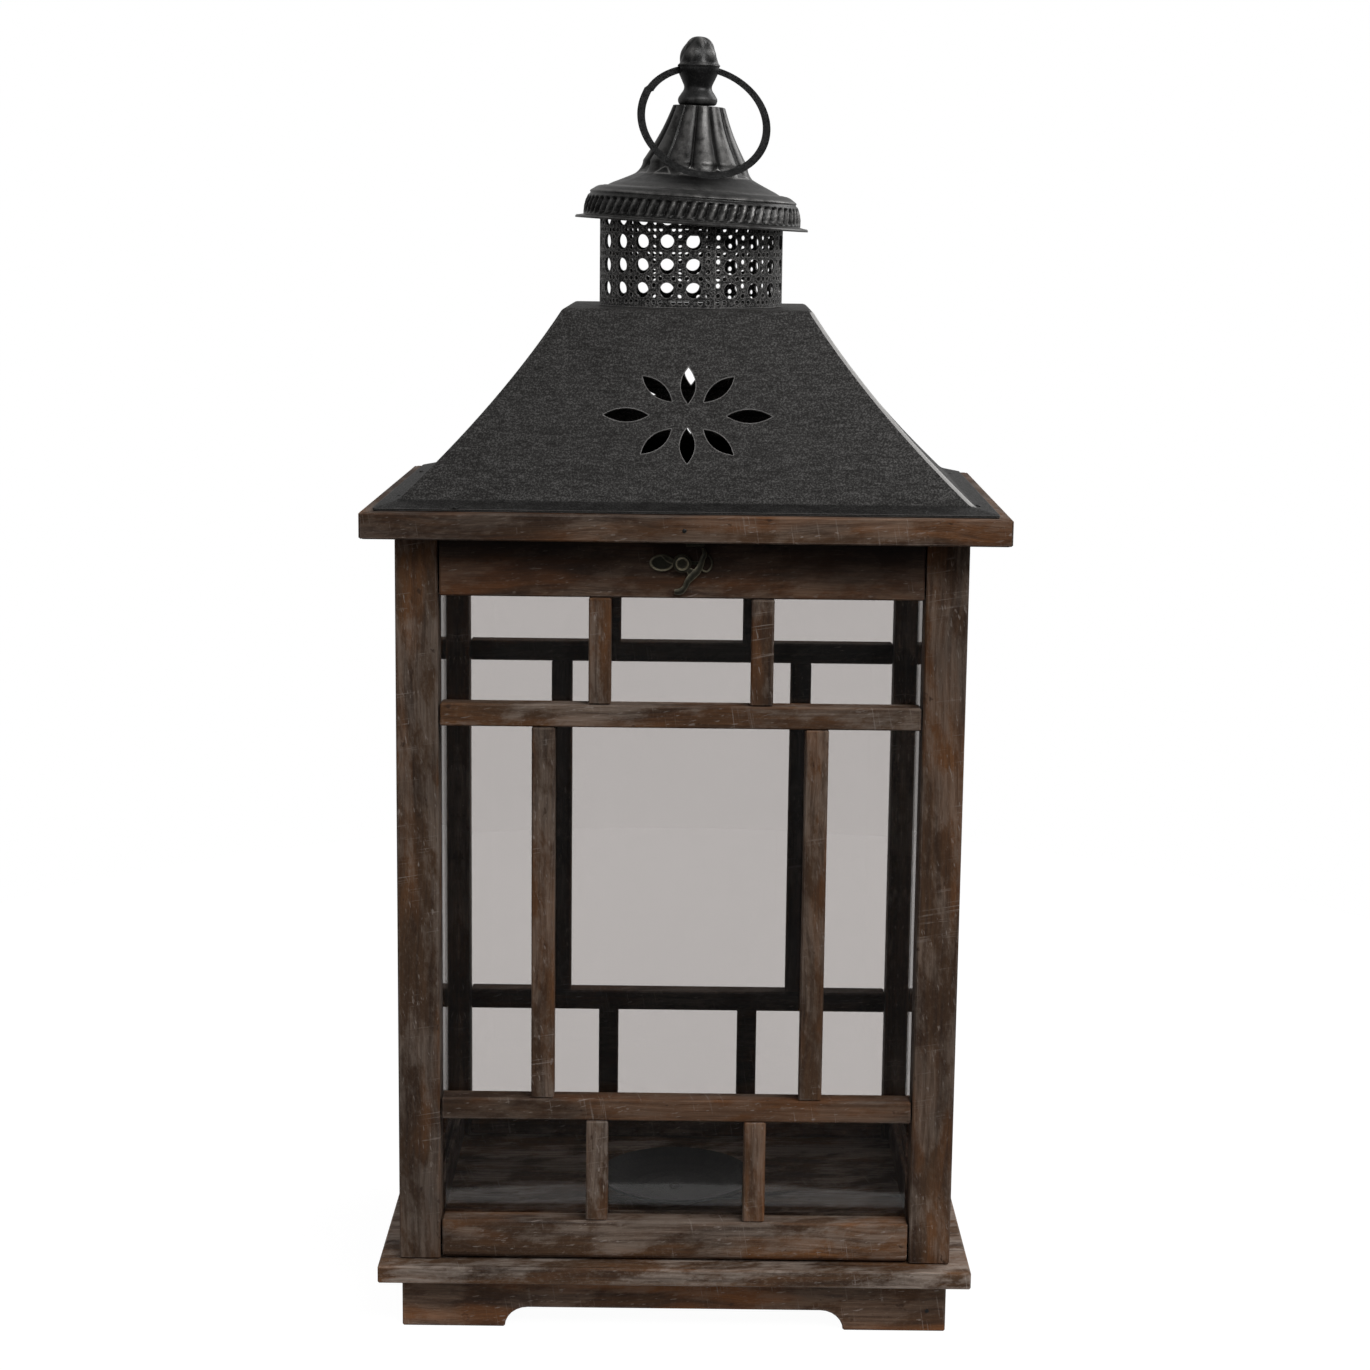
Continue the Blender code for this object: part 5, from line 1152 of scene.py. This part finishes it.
def seen_by_eye(tree, gloss=None):
    """One for the eye's own rays and those that only went through glass, and a share for reflected ones."""
    path = add_node(tree, "ShaderNodeLightPath").outputs
    turned = plus(tree, path["Diffuse Depth"], path["Glossy Depth"], True)
    straight = add_math(tree, "SUBTRACT", 1.0, turned)
    seen = plus(tree, path["Is Camera Ray"], times(tree, path["Is Transmission Ray"], straight), True)
    if gloss is not None:
        seen = plus(tree, seen, times(tree, path["Is Glossy Ray"], gloss), True)
    return seen


def white_to_eye(tree, surface):
    """Shows near white to the eye and through the glass, with a little of the given surface for its shadow."""
    seen = times(tree, seen_by_eye(tree), 0.88)
    white = add_node(tree, "ShaderNodeEmission", {"Color": (1, 1, 1, 1), "Strength": 1.10})
    return add_node(tree, "ShaderNodeMixShader", {0: seen, 1: surface, 2: white.outputs[0]}).outputs[0]


class LANTERN_OT_stage(Step, bpy.types.Operator):
    """Sets up the pale floor, the soft light and the camera"""

    bl_idname = "lantern.stage"
    bl_label = "Set the stage"

    def make(self, sizes, colours):
        scene = bpy.context.scene
        scene.view_settings.view_transform = "Standard"
        self.add_floor()
        self.add_world(scene)
        self.add_lamp("key", (0.95, -1.25, 1.75), (1.5, 0.8), 32.0)
        self.add_lamp("fill", (-1.2, -1.5, 1.2), (1.4, 1.4), 6.0)
        self.add_lamp("rim", (1.1, 0.8, 1.2), (0.8, 0.8), 7.0)
        self.add_camera(scene)

    def add_floor(self):
        bm = bmesh.new()
        bmesh.ops.create_circle(bm, cap_ends=True, segments=64, radius=FLOOR_RADIUS)
        place_all(bm, Matrix.Translation((0, FLOOR_BACK, 0)))
        floor = mesh_object("floor", bm)
        matt = {"Roughness": 0.9, "Base_Color": (0.70, 0.70, 0.70, 1), "Specular_IOR_Level": 0.0}
        material, tree, shader = start_material("pale_floor", **matt)
        fill(tree, tree.nodes["Material Output"], {"Surface": white_to_eye(tree, shader.outputs[0])})
        floor.data.materials.append(material)

    def add_world(self, scene):
        world = bpy.data.worlds.new("soft_room")
        world.use_nodes = True
        scene.world = world
        tree = world.node_tree
        room = tree.nodes["Background"]
        looking = add_node(tree, "ShaderNodeTexCoord").outputs["Generated"]
        aim = add_node(tree, "ShaderNodeSeparateXYZ", {0: looking}).outputs
        behind = span(tree, aim["Y"], 0.0, 0.5)
        above = span(tree, aim["Z"], 0.1, 0.9)
        strength = plus(tree, times(tree, behind, 0.34), plus(tree, times(tree, above, 0.24), 0.07))
        fill(tree, room, {"Color": (1, 0.99, 0.98, 1), "Strength": strength})
        seen = seen_by_eye(tree, times(tree, behind, 0.08))
        plain = add_node(tree, "ShaderNodeBackground", {"Color": (1, 1, 1, 1), "Strength": 1.0})
        both = add_node(tree, "ShaderNodeMixShader", {0: seen, 1: room.outputs[0], 2: plain.outputs[0]})
        fill(tree, tree.nodes["World Output"], {"Surface": both.outputs[0]})

    def add_lamp(self, name, place, size, power):
        light = bpy.data.lights.new(name, "AREA")
        light.shape = "RECTANGLE"
        light.size, light.size_y = size
        light.energy = power
        lamp = add_object(name, light)
        lamp.location = place
        lamp.rotation_euler = (Vector((0, 0, 0.3)) - Vector(place)).to_track_quat("-Z", "Y").to_euler()

    def add_camera(self, scene):
        data = bpy.data.cameras.new("camera")
        data.lens = 70.55
        data.sensor_width = 36.0
        camera = add_object("camera", data)
        tilt = Matrix.Rotation(math.radians(80.02), 4, "X") @ Matrix.Rotation(math.radians(0.655), 4, "Z")
        camera.matrix_world = Matrix.Translation((-0.0006, -1.3104, 0.5270)) @ tilt
        scene.camera = camera


STEPS = (
    LANTERN_OT_stage,
    LANTERN_OT_woodwork,
    LANTERN_OT_glazing,
    LANTERN_OT_roof,
    LANTERN_OT_nails,
    LANTERN_OT_chimney,
    LANTERN_OT_cap,
    LANTERN_OT_finial,
    LANTERN_OT_ring,
    LANTERN_OT_small_iron,
    LANTERN_OT_latch,
)


class LANTERN_PT_panel(bpy.types.Panel):
    """Lists the lantern's sizes, colours and steps"""

    bl_idname = "LANTERN_PT_panel"
    bl_label = "Wooden Lantern"
    bl_space_type = "VIEW_3D"
    bl_region_type = "UI"
    bl_category = "Lantern"

    def draw(self, context):
        layout = self.layout
        for group in (context.scene.lantern_sizes, context.scene.lantern_colours):
            box = layout.box()
            for name in group.bl_rna.properties.keys():
                if name not in ("rna_type", "name"):
                    box.prop(group, name)
        for step in STEPS:
            layout.operator(step.bl_idname)


CLASSES = (LanternSizes, LanternColours, *STEPS, LANTERN_PT_panel)


def register():
    for cls in CLASSES:
        bpy.utils.register_class(cls)
    bpy.types.Scene.lantern_sizes = bpy.props.PointerProperty(type=LanternSizes)
    bpy.types.Scene.lantern_colours = bpy.props.PointerProperty(type=LanternColours)


def unregister():
    del bpy.types.Scene.lantern_sizes
    del bpy.types.Scene.lantern_colours
    for cls in reversed(CLASSES):
        bpy.utils.unregister_class(cls)


def main():
    register()
    for step in STEPS:
        area, name = step.bl_idname.split(".")
        getattr(getattr(bpy.ops, area), name)()


if __name__ == "__main__":
    main()
